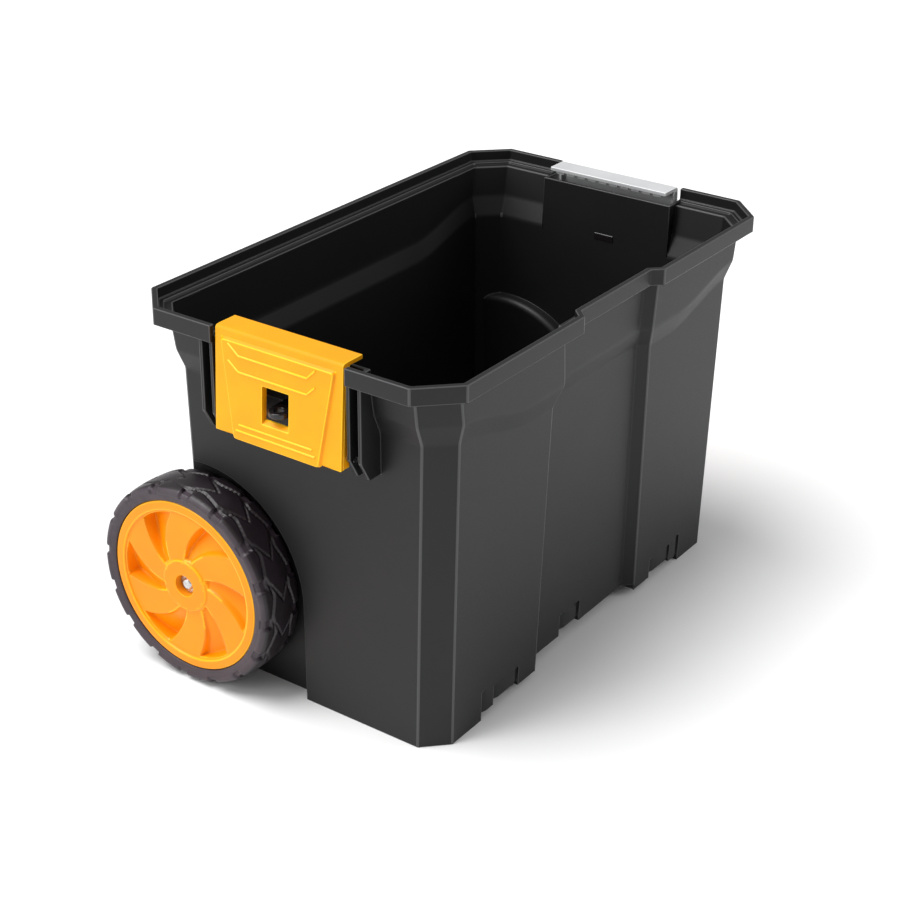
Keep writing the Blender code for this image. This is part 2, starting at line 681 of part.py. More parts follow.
def make_stub_axle(name, end):
    """The shaft's profile starts and ends on the axis, so its spin closes without a bore."""
    bm = bmesh.new()
    verts = [bm.verts.new((x, radius, 0.0)) for radius, x in stub_axle_profile()]
    edges = [bm.edges.new(pair) for pair in zip(verts, verts[1:])]
    bmesh.ops.spin(bm, geom=verts + edges, cent=(0, 0, 0), axis=(1, 0, 0), angle=2 * math.pi,
                   steps=SMALL_ROUND, use_merge=True)
    bmesh.ops.remove_doubles(bm, verts=bm.verts, dist=1e-6)
    axle = add_object(name, finished(bm), (0.62, 0.62, 0.64), 0.22, 1.0)
    shade_round(axle)
    place_on_axle(axle, end)
    return axle


def make_lock_nut(name, end):
    """Hexagon nut inside the tub that draws the collar against the well."""
    low = BOSS_END_OUT - GAP - WASHER_THICKNESS - GAP - NUT_THICKNESS
    corner_radius = NUT_ACROSS_FLATS / math.sqrt(3)
    nut = add_object(name, prism(circle(corner_radius, 6), "X", low, low + NUT_THICKNESS),
                     (0.6, 0.6, 0.58), 0.35, 1.0)
    place_on_axle(nut, end)
    bore = circle(AXLE_RADIUS + BORE_CLEARANCE, SMALL_ROUND)
    combine(nut, "DIFFERENCE", prism(bore, "X", low - PAST, low + NUT_THICKNESS + PAST))
    return nut


def make_wheel(label, end):
    steel = ((0.6, 0.6, 0.62), 0.3, 1.0)
    bore = AXLE_RADIUS + BORE_CLEARANCE
    make_hub(f"{label}_wheel_hub", end)
    turned_part(f"{label}_tyre", end, tyre_profile(), ROUND, (0.02, 0.018, 0.022), 0.7, 0.0)
    make_stub_axle(f"{label}_stub_axle", end)
    cap_low = MOUTH_FLOOR_OUT + GAP
    clip_low = cap_low + WASHER_THICKNESS + GAP
    boss_low = BOSS_END_OUT - GAP - WASHER_THICKNESS
    rings = (
        ("hub_washer", COLLAR_RADIUS, HUB_WASHER_OUT, WASHER_THICKNESS),
        ("cap_washer", SMALL_WASHER_RADIUS, cap_low, WASHER_THICKNESS),
        ("push_nut", SMALL_WASHER_RADIUS, clip_low, PUSH_NUT_THICKNESS),
        ("boss_washer", LARGE_WASHER_RADIUS, boss_low, WASHER_THICKNESS),
    )
    for piece, radius, low, thickness in rings:
        profile = ring_profile(bore, radius, low, low + thickness)
        turned_part(f"{label}_{piece}", end, profile, SMALL_ROUND, *steel)
    make_lock_nut(f"{label}_lock_nut", end)


def main():
    for obj in list(bpy.data.objects):
        bpy.data.objects.remove(obj, do_unlink=True)
    make_tub()
    latch_colours = {"left": (0.95, 0.48, 0.02), "right": (0.75, 0.75, 0.76)}
    for label, end in (("left", -1), ("right", 1)):
        make_latch(f"{label}_latch", end, latch_colours[label])
        make_latch_pin(f"{label}_latch_pin", end)
        make_padlock_eye(f"{label}_padlock_eye", end)
        make_wheel(label, end)


main()
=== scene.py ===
import math
from collections import namedtuple

import bmesh
import bpy
from mathutils import Matrix, Quaternion, Vector


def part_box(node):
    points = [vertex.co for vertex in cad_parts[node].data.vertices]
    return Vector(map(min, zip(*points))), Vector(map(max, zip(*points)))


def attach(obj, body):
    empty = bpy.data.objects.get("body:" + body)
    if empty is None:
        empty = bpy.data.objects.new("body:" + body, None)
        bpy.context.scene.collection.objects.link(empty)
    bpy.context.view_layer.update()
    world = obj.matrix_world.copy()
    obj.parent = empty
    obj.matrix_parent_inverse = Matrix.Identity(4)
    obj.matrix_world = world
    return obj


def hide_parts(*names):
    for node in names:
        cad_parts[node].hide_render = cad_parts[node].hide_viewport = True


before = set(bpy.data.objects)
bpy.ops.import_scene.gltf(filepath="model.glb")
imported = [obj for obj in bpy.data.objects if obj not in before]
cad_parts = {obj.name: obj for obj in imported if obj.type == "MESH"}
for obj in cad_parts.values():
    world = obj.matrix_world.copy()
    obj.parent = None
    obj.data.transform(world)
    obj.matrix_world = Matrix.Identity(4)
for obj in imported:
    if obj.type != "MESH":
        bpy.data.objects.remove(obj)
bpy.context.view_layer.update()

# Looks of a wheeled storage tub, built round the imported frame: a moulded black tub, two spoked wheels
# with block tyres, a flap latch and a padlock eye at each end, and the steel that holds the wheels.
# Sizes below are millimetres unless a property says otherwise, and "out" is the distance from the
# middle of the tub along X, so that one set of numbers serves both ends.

bl_info = {
    "name": "Wheeled Storage Tub",
    "version": (1, 0, 0),
    "blender": (4, 5, 0),
    "location": "View3D > Sidebar > Tub",
    "description": "Builds the shell, wheels, latches and stage of a wheeled storage tub",
    "category": "Object",
}

MM = 0.001
ENDS = (("left", -1), ("right", 1))

# How far cutters go past what they cut, and the height that they start from under the floor
PAST = 10.0
BELOW = -12.0


def node_box(name):
    """Lowest and highest corner of a CAD node, in millimetres."""
    return tuple(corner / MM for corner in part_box(name))


# Sizes read from the frame
TUB_LOW, TUB_HIGH = node_box("tub_body")
TYRE_LOW, TYRE_HIGH = node_box("right_tyre")
HUB_LOW, HUB_HIGH = node_box("right_wheel_hub")
LATCH_HIGH = node_box("right_latch")[1]
EYE_LOW, EYE_HIGH = node_box("right_padlock_eye")
PIN_LOW, PIN_HIGH = node_box("right_latch_pin")

TUB_HEIGHT = TUB_HIGH.z
RIM_OUT = TUB_HIGH.x
RIM_SIDE = -TUB_LOW.y
TYRE_RADIUS = (TYRE_HIGH.z - TYRE_LOW.z) / 2
AXLE_Y = (TYRE_HIGH.y + TYRE_LOW.y) / 2
AXLE_Z = (TYRE_HIGH.z + TYRE_LOW.z) / 2
TYRE_BACK_OUT, TYRE_FACE_OUT = TYRE_LOW.x, TYRE_HIGH.x
TYRE_HALF = (TYRE_FACE_OUT - TYRE_BACK_OUT) / 2
HUB_RADIUS = (HUB_HIGH.z - HUB_LOW.z) / 2
HUB_BACK_OUT, HUB_FACE_OUT = HUB_LOW.x, HUB_HIGH.x
PIN_OUT = (PIN_LOW.x + PIN_HIGH.x) / 2
PIN_Z = (PIN_LOW.z + PIN_HIGH.z) / 2

# Tub walls, from the rim down
WALL = 3.0
RIM_EDGE = 5.0
LEDGE_TOP = TUB_HEIGHT - 10.0
LEDGE_STEP = 2.0
LIP_BOTTOM = TUB_HEIGHT - 14.5
SHOULDER_TOP = TUB_HEIGHT - 40.0
SHOULDER_BOTTOM = SHOULDER_TOP - 18.0
DIP = 19.5
DIP_RUN = 95.0
DIP_STEPS = 12
RECESS = 8.5
EDGE_ROUND = 3.0
EDGE_STEPS = 3
LOWER_SLOPE = 5.6 / SHOULDER_BOTTOM
UPPER_SLOPE = 0.4 / (LIP_BOTTOM - SHOULDER_TOP)

Level = namedtuple("Level", "out side corner panel z dip slope inset")
RIM = Level(RIM_OUT, RIM_SIDE, 30.0, 156.8, TUB_HEIGHT, 0.0, 0.0, 0.0)
UPPER_WALL_TOP = Level(RIM_OUT - 13.3, RIM_SIDE - 10.9, 24.5, 138.5, LIP_BOTTOM, 0.0, 0.0, 0.0)
UPPER_WALL = Level(UPPER_WALL_TOP.out - 4.0, UPPER_WALL_TOP.side - 0.4, 24.5, 138.5, SHOULDER_TOP,
                   DIP, UPPER_SLOPE, 0.0)
LOWER_WALL = Level(UPPER_WALL.out - 7.8, UPPER_WALL.side - 5.8, 20.0, 127.7, SHOULDER_BOTTOM,
                   DIP, LOWER_SLOPE, 0.0)
BASE = Level(LOWER_WALL.out - 2.4, LOWER_WALL.side - 5.6, 20.0, 119.8, 0.0, 0.0, 0.0, 0.0)

# Wheel wells, bosses, latch bays and cheeks
WELL_RADIUS = TYRE_RADIUS + 9.0
WELL_OUT = BASE.out - 10.8
WELL_ROUND = 4.0
BOSS_RADIUS = 16.0
BOSS_LENGTH = 19.0
BOSS_END_OUT = WELL_OUT - WALL - BOSS_LENGTH
RIB_THICKNESS = 4.0
AXLE_BORE = 5.25
BAY_HALF_WIDTH = 65.0
BAY_OUT = LOWER_WALL.out + 0.3
CHEEK = 3.0
CHEEK_GAP = 7.5
CHEEK_FOOT = TUB_HEIGHT - 75.5
CHEEK_TAPER = 17.0
CHEEK_BACK = 9.5
CHEEK_ROUND = 3.0

# Rounding of the cut edges, and the narrow outward faces that get a painted edge highlight: turn in degrees,
# width
CUT_ROUND = 0.8
HIGHLIGHT_TURN = 6.0
HIGHLIGHT_WIDTH = 1.1

# Stepped underside of the front wall: x from the corner foot inwards, and the rise of each step
FOOT_X = BASE.out - BASE.corner - 40.0
RELIEF_STEPS = ((0.0, 6.3), (17.0, 10.3), (53.5, 5.9), (79.8, 11.5))
RELIEF_BACK = 23.0 - BASE.side
# Drain notch: its left and right side, and its top
DRAIN = (-32.0, 0.0, 16.5)
# Ramps over the steps: x from the corner foot inwards, the way each one runs out, and its top
RAMPS = ((0.0, -1, 28.0), (17.0, -1, 25.0), (53.5, 1, 25.0))
RAMP_HEIGHT = 16.0
RAMP_DEPTH = 1.8
RAMP_RUN = 8.0

# Latch, measured from the rim
LATCH_HALF = LATCH_HIGH.y
LATCH_TOP = LATCH_HIGH.z
LATCH_FOOT = TUB_HEIGHT - 85.0
LATCH_LEAN = 5.0
LATCH_PROUD = 1.7
LATCH_PLATE = 3.0
LATCH_FLANGE = 3.5
LATCH_REACH = 25.5
LATCH_ROUND = 3.2
LATCH_CUT_ROUND = 0.6
PANEL_PROUD = 2.5
PANEL_DROP = 2.0
PANEL_TOP_INSET = 6.0
PANEL_TOP_HALF = 56.0
PANEL_FOOT_HALF = 43.0
PANEL_SLOPE = 1.6
WINDOW_HALF = 13.0
WINDOW_FOOT = EYE_LOW.z - 4.0
WINDOW_HEIGHT = 28.0
SILL_DROP = 4.2
TEETH = 10
TEETH_INSET = 4.0
TOOTH_GAP = 1.6
KNUCKLE_RADIUS = 4.5
WEB_HALF = 2.75
PIN_BORE = 2.4

# Bars on the face of a latch, as points of (y, z)
RIDGE_WIDTH = 1.7
CHEVRONS = (
    ((-47.0, 320.5), (-36.5, 312.5), (30.0, 312.5), (38.0, 320.5)),
    ((-47.0, 307.0), (-36.5, 299.5), (30.0, 299.5), (38.0, 307.0)),
)
BARS = (((-39.0, 251.2), (39.0, 251.2)), ((-36.0, 256.4), (36.0, 256.4)))

# Padlock eye: a round-ended tab, and a head that stands just proud of the inside of the bay wall
EYE_RADIUS = 9.0
EYE_FOOT = EYE_LOW.z + 2.5
EYE_TOP = EYE_HIGH.z - 2.5
EYE_TAIL_OUT = EYE_LOW.x + 2.0
EYE_HOLE = 4.0
EYE_SLOT_GAP = 0.3
EYE_ROUND = 0.9
HEAD_OUT = (EYE_LOW.x + 1.6, EYE_LOW.x + 4.0)
HEAD_HALF = 10.5
HEAD_LIP = 1.2

# Wheel face: radii from the axle, and how deep the field and the pockets are sunk
BOSS_FACE = 22.0
MOUTH = 9.5
MOUTH_DEPTH = 9.0
RING_INNER = 67.0
FIELD_DEPTH = 1.6
BLADES = 6
POCKET_IN = 24.0
POCKET_OUT = 66.0
POCKET_DEPTH_IN = 4.0
POCKET_DEPTH_MORE = 8.0
# Degrees at which a pocket starts and ends, next to the boss, and how far each end sweeps back outwards
POCKET_START, POCKET_START_SWEEP = 10.0, 30.0
POCKET_END, POCKET_END_SWEEP = 30.0, 20.0
# Where the grid lines of the face fall across a pocket and across the blade beside it
POCKET_SHARES = (0.0, 0.04, 0.09, 0.15, 0.25, 0.4, 0.55, 0.7, 0.82, 0.9, 0.95)
BLADE_SHARES = (0.0, 0.05, 0.1, 0.18, 0.3, 0.5, 0.7, 0.82, 0.9, 0.95)
FACE_RADII = (MOUTH, MOUTH + 0.6, 14.0, 19.0, 20.6, BOSS_FACE, 22.6, 23.2, POCKET_IN, 24.5, 25.0, 25.6,
              26.4, 28.0, 31.0, 35.0, 40.0, 45.0, 50.0, 55.0, 59.0, 62.0, 63.6, 64.4, 65.0, 65.5,
              POCKET_OUT, 66.5, 66.9, 67.4, 68.0, 69.0, 72.0,
              HUB_RADIUS - 1.2, HUB_RADIUS - 0.5, HUB_RADIUS - 0.1)
HUB_PLATE = 14.5
HUB_BARREL = 5.5

# Tyre tread: one pitch is a shoulder block and its gap, and shares are of one pitch
TREAD_PITCHES = 16
PITCH_STEPS = 30
SIDEWALL_REACH = 87.6
SHOULDER_GAP = (0.66, 0.97)
SHOULDER_START = 12.2
ZIGZAG_OUT = 11.0
ZIGZAG_SWING = 2.2
LANE_WIDTH = 1.6
SLANT_WIDTH = 1.8
SLANT_REACH = 10.5

# Stage: the lights and the floor in metres, the overhead light's spread in degrees, the lens in millimetres
KEY_PLACE, KEY_SIZE = (1.4, -2.2, 1.5), 1.2
SIDE_PLACE, SIDE_SIZE = (-2.8, 1.5, 1.5), 1.5
LIGHT_AIM = (0.0, 0.0, 0.15)
OVERHEAD_AIM = (0.3, -0.3, -1.0)
OVERHEAD_SPREAD = 40.0
FLOOR_RADIUS = 20.0
LENS = 75.353
SENSOR = 36.0
LENS_SHIFT = (-0.0173, -0.0263)


# Meshes

def closed_mesh(bm):
    """Finish a closed bmesh whose sizes are millimetres, with every face pointing out."""
    bmesh.ops.remove_doubles(bm, verts=bm.verts, dist=1e-5)
    bmesh.ops.recalc_face_normals(bm, faces=bm.faces)
    bmesh.ops.scale(bm, vec=(MM, MM, MM), verts=bm.verts)
    mesh = bpy.data.meshes.new("shape")
    bm.to_mesh(mesh)
    bm.free()
    return mesh


def loft(rings, ring_of_rings=False):
    """Closed surface through rings of points that match one to one, capped unless the rings join up."""
    bm = bmesh.new()
    loops = [[bm.verts.new(point) for point in ring] for ring in rings]
    pairs = list(zip(loops, loops[1:]))
    if ring_of_rings:
        pairs.append((loops[-1], loops[0]))
    for below, above in pairs:
        for i in range(len(below)):
            j = (i + 1) % len(below)
            bm.faces.new((below[i], below[j], above[j], above[i]))
    if not ring_of_rings:
        bm.faces.new(reversed(loops[0]))
        bm.faces.new(loops[-1])
    return closed_mesh(bm)


def prism(outline, axis, low, high):
    """Outline of the two other coordinates, in XYZ order, extruded along axis from low to high."""
    rings = []
    for level in (low, high):
        ring = []
        for a, b in outline:
            point = [a, b]
            point.insert("XYZ".index(axis), level)
            ring.append(Vector(point))
        rings.append(ring)
    return loft(rings)


def block(low, high):
    """Box between two corners."""
    outline = ((low[0], low[1]), (high[0], low[1]), (high[0], high[1]), (low[0], high[1]))
    return prism(outline, "Z", low[2], high[2])


def circle(radius, steps, centre):
    """Points of a circle, as an outline for a prism."""
    turn = 2 * math.pi / steps
    return [(centre[0] + radius * math.cos(turn * i), centre[1] + radius * math.sin(turn * i))
            for i in range(steps)]


def bend(before, at, after, radius, steps):
    """Points of the curve that replaces one corner of a polyline."""
    into, away = at - before, after - at
    half_turn = into.angle(away) / 2
    cut = min(radius * math.tan(half_turn), 0.45 * into.length, 0.45 * away.length)
    start = at - into.normalized() * cut
    end = at + away.normalized() * cut
    points = []
    for step in range(steps + 1):
        share = step / steps
        points.append(start * (1 - share) ** 2 + at * 2 * share * (1 - share) + end * share ** 2)
    return points


def rounded(outline, radius, steps, sharp=()):
    """Closed outline with each corner curved, apart from the sharp ones."""
    corners = [Vector(point) for point in outline]
    points = []
    for i, at in enumerate(corners):
        if i in sharp:
            points.append(at)
        else:
            points += bend(corners[i - 1], at, corners[(i + 1) % len(corners)], radius, steps)
    return points


def smooth(share):
    """Zero to one in a soft step as share goes from zero to one."""
    share = min(max(share, 0.0), 1.0)
    return share * share * (3 - 2 * share)


def carve(mesh, operation, *tools):
    """The mesh joined with, or cut by, closed meshes one after the other."""
    objects = [bpy.data.objects.new("work", part) for part in (mesh, *tools)]
    for obj in objects:
        bpy.context.scene.collection.objects.link(obj)
    for tool in objects[1:]:
        modifier = objects[0].modifiers.new("carve", "BOOLEAN")
        modifier.operation = operation
        modifier.object = tool
        modifier.solver = "EXACT"
    graph = bpy.context.evaluated_depsgraph_get()
    made = bpy.data.meshes.new_from_object(objects[0].evaluated_get(graph))
    for obj in objects:
        used = obj.data
        bpy.data.objects.remove(obj)
        bpy.data.meshes.remove(used)
    if not made.polygons:
        raise RuntimeError(f"a {operation.lower()} left no faces")
    return made


def joined(*meshes):
    """Several closed meshes as one."""
    bm = bmesh.new()
    for mesh in meshes:
        bm.from_mesh(mesh)
        bpy.data.meshes.remove(mesh)
    made = bpy.data.meshes.new("shape")
    bm.to_mesh(made)
    bm.free()
    return made


def mark_highlight_edges(mesh):
    """Note which faces lie along an outward edge, the narrow ones that turn away from a neighbour, for a
    painted highlight.
    """
    bm = bmesh.new()
    bm.from_mesh(mesh)
    marks = []
    for face in bm.faces:
        longest = max(edge.calc_length() for edge in face.edges)
        turned = any(edge.is_manifold and edge.calc_length() > longest / 2
                     and edge.calc_face_angle_signed() > math.radians(HIGHLIGHT_TURN) for edge in face.edges)
        narrow = len(face.verts) == 4 and face.calc_area() / longest < HIGHLIGHT_WIDTH * MM
        marks.append(1.0 if turned and narrow else 0.0)
    bm.free()
    mesh.attributes.new("painted_edge_highlight", "FLOAT", "FACE").data.foreach_set("value", marks)


def place(name, mesh, material, body, end=1, nodes=(), pivot_y=0.0):
    """Make the piece, turn it to its end of the tub, tie it to its body, and hide the CAD nodes that it
    replaces.
    """
    mesh.name = name
    mesh.materials.clear()
    mesh.materials.append(material)
    if end < 0:
        pivot = Matrix.Translation((0.0, pivot_y * MM, 0.0))
        mesh.transform(pivot @ Matrix.Rotation(math.pi, 4, "Z") @ pivot.inverted())
    mesh.shade_smooth()
    # Narrow faces along outward edges are marked for a painted highlight in the material
    mark_highlight_edges(mesh)
    piece = bpy.data.objects.new(name, mesh)
    bpy.context.scene.collection.objects.link(piece)
    normals = piece.modifiers.new("flat faces stay flat", "WEIGHTED_NORMAL")
    normals.mode = "FACE_AREA"
    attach(piece, body)
    if nodes:
        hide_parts(*nodes)
    return piece


def softened(mesh, width, angle=32.0, segments=2):
    """The mesh with its sharp edges rounded, after the spare edges that the cuts left are dissolved."""
    bm = bmesh.new()
    bm.from_mesh(mesh)
    bmesh.ops.remove_doubles(bm, verts=bm.verts, dist=0.01 * MM)
    bmesh.ops.dissolve_limit(bm, angle_limit=math.radians(0.2), verts=bm.verts, edges=bm.edges)
    bm.to_mesh(mesh)
    bm.free()
    work = bpy.data.objects.new("work", mesh)
    bpy.context.scene.collection.objects.link(work)
    # Faces with many corners, and holes in them, are split first so that the rounding can't fold them
    work.modifiers.new("split", "TRIANGULATE").min_vertices = 5
    modifier = work.modifiers.new("edges", "BEVEL")
    modifier.width = width * MM
    modifier.segments = segments
    modifier.limit_method = "ANGLE"
    modifier.angle_limit = math.radians(angle)
    modifier.use_clamp_overlap = False
    modifier.miter_outer = "MITER_ARC"
    graph = bpy.context.evaluated_depsgraph_get()
    made = bpy.data.meshes.new_from_object(work.evaluated_get(graph))
    bpy.data.objects.remove(work)
    bpy.data.meshes.remove(mesh)
    return made


def kept_inside(mesh, low, high):
    """The mesh with no point past a box in millimetres, since a rounding can leave a mitre just proud."""
    for vertex in mesh.vertices:
        vertex.co = [min(max(at, least * MM), most * MM) for at, least, most in zip(vertex.co, low, high)]
    return mesh


# Materials

def linear(colour):
    """sRGB hex to the linear colour that a shader takes."""
    digits = colour.lstrip("#")
    channels = [int(digits[i:i + 2], 16) / 255 for i in (0, 2, 4)]
    return tuple(c / 12.92 if c <= 0.04045 else ((c + 0.055) / 1.055) ** 2.4 for c in channels)


def dimmed(colour, share):
    """A linear colour, darker or lighter by a share."""
    return tuple(channel * share for channel in colour)


def per_metre(size_mm):
    """Noise scale at which one blotch is about this many millimetres across."""
    return 1.0 / (size_mm * MM)


def connect(tree, node, inputs):
    """Link each input that is given a socket, and set the others."""
    for name, value in inputs.items():
        if isinstance(value, bpy.types.NodeSocket):
            tree.links.new(value, node.inputs[name])
        else:
            node.inputs[name].default_value = value


def add_node(tree, kind, inputs, stops=(), **settings):
    """Add a node with its settings, its colour stops if it is a ramp, and its inputs."""
    node = tree.nodes.new(kind)
    for name, value in settings.items():
        setattr(node, name, value)
    if stops:
        for element, (position, colour) in zip(node.color_ramp.elements, stops):
            element.position = position
            element.color = (*colour, 1.0)
    connect(tree, node, inputs)
    return node.outputs


def new_material(name):
    """An empty material with its tree, its shader and the place of each point in the piece."""
    material = bpy.data.materials.new(name)
    material.use_nodes = True
    tree = material.node_tree
    return material, tree, tree.nodes["Principled BSDF"], add_node(tree, "ShaderNodeTexCoord", {})["Object"]


def moulded(name, colour, painted_edge_highlight, roughness, grain_mm, grain_depth_mm, edge_mm, **inputs):
    """Injection-moulded plastic: the sparked tool leaves an even fine grain that breaks up the gloss.

    The pigment drifts a little over tens of millimetres, and the narrow faces along the edges get a painted
    highlight colour and a smoother finish, which draws a thin light line round each part. The true grain is
    0.1 to 0.2 mm, too fine to show, so it is drawn at grain_mm. Both plastics bend light by about 1.5, which
    is the shader's own value.
    """
    material, tree, shader, spot = new_material(name)
    grain = add_node(tree, "ShaderNodeTexNoise", {
        "Vector": spot, "Scale": per_metre(grain_mm), "Detail": 3.0, "Roughness": 0.55})["Fac"]
    drift = add_node(tree, "ShaderNodeTexNoise", {
        "Vector": spot, "Scale": per_metre(60.0), "Detail": 4.0, "Roughness": 0.55})["Fac"]
    pigment = add_node(tree, "ShaderNodeValToRGB", {"Fac": drift},
                       stops=((0.35, dimmed(colour, 0.88)), (0.65, colour)))["Color"]
    # Narrow faces along outward edges take a painted highlight colour here, and a lower roughness
    highlight_mask = add_node(tree, "ShaderNodeAttribute", {}, attribute_name="painted_edge_highlight")["Fac"]
    matt = add_node(tree, "ShaderNodeMapRange", {
        "Value": grain, "From Min": 0.3, "From Max": 0.7,
        "To Min": roughness - 0.05, "To Max": roughness + 0.05})["Result"]
    edge = add_node(tree, "ShaderNodeBevel", {"Radius": edge_mm * MM}, samples=6)["Normal"]
    connect(tree, shader, {
        "Base Color": add_node(tree, "ShaderNodeMixRGB", {
            "Fac": highlight_mask, "Color1": pigment, "Color2": (*painted_edge_highlight, 1.0)})["Color"],
        "Roughness": add_node(tree, "ShaderNodeMath", {
            0: highlight_mask, 1: -0.12, 2: matt}, operation="MULTIPLY_ADD")["Value"],
        "Normal": add_node(tree, "ShaderNodeBump", {
            "Height": grain, "Distance": grain_depth_mm * MM, "Strength": 0.35, "Normal": edge})["Normal"],
        **{key.replace("_", " "): value for key, value in inputs.items()},
    })
    return material


def rubber(name, colour, roughness):
    """Solid moulded rubber: dull, with a faint bloom of dust and small pits from the mould."""
    material, tree, shader, spot = new_material(name)
    pits = add_node(tree, "ShaderNodeTexNoise", {
        "Vector": spot, "Scale": per_metre(1.6), "Detail": 4.0, "Roughness": 0.65})["Fac"]
    bloom = add_node(tree, "ShaderNodeTexNoise", {
        "Vector": spot, "Scale": per_metre(14.0), "Detail": 5.0, "Roughness": 0.6})["Fac"]
    edge = add_node(tree, "ShaderNodeBevel", {"Radius": 0.8 * MM}, samples=6)["Normal"]
    connect(tree, shader, {
        "Base Color": add_node(tree, "ShaderNodeValToRGB", {"Fac": bloom},
                               stops=((0.4, colour), (0.75, dimmed(colour, 1.5))))["Color"],
        "Roughness": add_node(tree, "ShaderNodeMapRange", {
            "Value": pits, "From Min": 0.3, "From Max": 0.7,
            "To Min": roughness - 0.08, "To Max": roughness + 0.08})["Result"],
        "Normal": add_node(tree, "ShaderNodeBump", {
            "Height": pits, "Distance": 0.12 * MM, "Strength": 0.4, "Normal": edge})["Normal"],
    })
    return material


def zinc_steel():
    """Steel with bright zinc plate: clear highlights, slightly blurred by fine turning marks."""
    material, tree, shader, spot = new_material("zinc_plated_steel")
    along = add_node(tree, "ShaderNodeMapping", {"Vector": spot, "Scale": (9.0, 1.0, 1.0)})["Vector"]
    turning = add_node(tree, "ShaderNodeTexNoise", {
        "Vector": along, "Scale": per_metre(2.5), "Detail": 4.0, "Roughness": 0.55})["Fac"]
    bloom = add_node(tree, "ShaderNodeTexNoise", {
        "Vector": spot, "Scale": per_metre(4.0), "Detail": 3.0, "Roughness": 0.55})["Fac"]
    edge = add_node(tree, "ShaderNodeBevel", {"Radius": 0.2 * MM}, samples=6)["Normal"]
    connect(tree, shader, {
        "Base Color": add_node(tree, "ShaderNodeValToRGB", {"Fac": bloom},
                               stops=((0.35, linear("#B9BCC1")), (0.65, linear("#D6D7D6"))))["Color"],
        "Roughness": add_node(tree, "ShaderNodeMapRange", {
            "Value": turning, "From Min": 0.3, "From Max": 0.7, "To Min": 0.22, "To Max": 0.34})["Result"],
        "Metallic": 1.0,
        "Normal": add_node(tree, "ShaderNodeBump", {
            "Height": turning, "Distance": 0.02 * MM, "Strength": 0.3, "Normal": edge})["Normal"],
    })
    return material


def studio_floor():
    """Matt painted board: pale, with no gloss and barely any tooth."""
    material, tree, shader, spot = new_material("matt_painted_board")
    tooth = add_node(tree, "ShaderNodeTexNoise", {
        "Vector": spot, "Scale": per_metre(6.0), "Detail": 3.0, "Roughness": 0.55})["Fac"]
    cloud = add_node(tree, "ShaderNodeTexNoise", {
        "Vector": spot, "Scale": per_metre(900.0), "Detail": 3.0, "Roughness": 0.55})["Fac"]
    connect(tree, shader, {
        "Base Color": add_node(tree, "ShaderNodeValToRGB", {"Fac": cloud},
                               stops=((0.35, linear("#F3F3F3")), (0.65, linear("#F7F7F7"))))["Color"],
        "Roughness": add_node(tree, "ShaderNodeMapRange", {
            "Value": tooth, "From Min": 0.3, "From Max": 0.7, "To Min": 0.85, "To Max": 0.95})["Result"],
        "Normal": add_node(tree, "ShaderNodeBump", {
            "Height": tooth, "Distance": 0.05 * MM, "Strength": 0.2})["Normal"],
    })
    return material


# Tub

def between(low, high, share):
    """Level a share of the way from one to another."""
    return Level(*(a + (b - a) * share for a, b in zip(low, high)))


def curved_levels(levels, radii):
    """The levels, with each one between the first and the last rounded by its radius."""
    made = [levels[0]]
    for before, at, after, radius in zip(levels, levels[1:], levels[2:], radii):
        ends = []
        for other in (before, after):
            length = math.hypot(at.out - at.inset - other.out + other.inset, at.z - other.z)
            ends.append(between(at, other, min(radius / length, 0.45)))
        for step in range(EDGE_STEPS + 1):
            share = step / EDGE_STEPS
            made.append(between(between(ends[0], at, share), between(at, ends[1], share), share))
    made.append(levels[-1])
    return made


def tub_ring(level):
    """All the points of one level: an octagon whose front wall steps back in the middle."""
    half_x, half_y = level.out - level.inset, level.side - level.inset
    chamfer = level.corner - level.inset * (2 - math.sqrt(2))
    corner_x, end_y = half_x - chamfer, half_y - chamfer
    jog_x = level.out - level.corner - level.panel + level.inset * (math.sqrt(2) - 1)
    back_x, back_y = jog_x - RECESS, half_y - RECESS
    outline = [(-corner_x, -half_y), (-jog_x, -half_y), (-back_x, -back_y), (back_x, -back_y),
               (jog_x, -half_y), (corner_x, -half_y), (half_x, -end_y), (half_x, end_y),
               (corner_x, half_y), (-corner_x, half_y), (-half_x, end_y), (-half_x, -end_y)]
    along = [corner_x - DIP_RUN * (1 - step / DIP_STEPS) for step in range(DIP_STEPS)]
    after = {0: [-x for x in reversed(along)], 4: along, 8: along[::-1]}
    corners = [Vector(point) for point in outline]
    points = []
    for i, at in enumerate(corners):
        if i == 9:
            points += [Vector((-x, half_y)) for x in along]
        points += bend(corners[i - 1], at, corners[(i + 1) % len(corners)], EDGE_ROUND, EDGE_STEPS)
        if after.get(i):
            points += [Vector((x, at.y)) for x in after[i]]
    ring = []
    for x, y in points:
        sunk = level.dip * smooth((corner_x - abs(x)) / DIP_RUN)
        ring.append(Vector((x, y - math.copysign(sunk * level.slope, y), level.z - sunk)))
    return ring


def tub_outside():
    """Solid block of the tub, from the base up over the flare and the lip to the rim."""
    rim_foot = RIM._replace(z=LIP_BOTTOM)
    levels = [BASE, LOWER_WALL, UPPER_WALL, UPPER_WALL_TOP, rim_foot, RIM]
    return loft([tub_ring(level) for level in curved_levels(levels, (2.2, 2.2, 1.5, 0.0))])


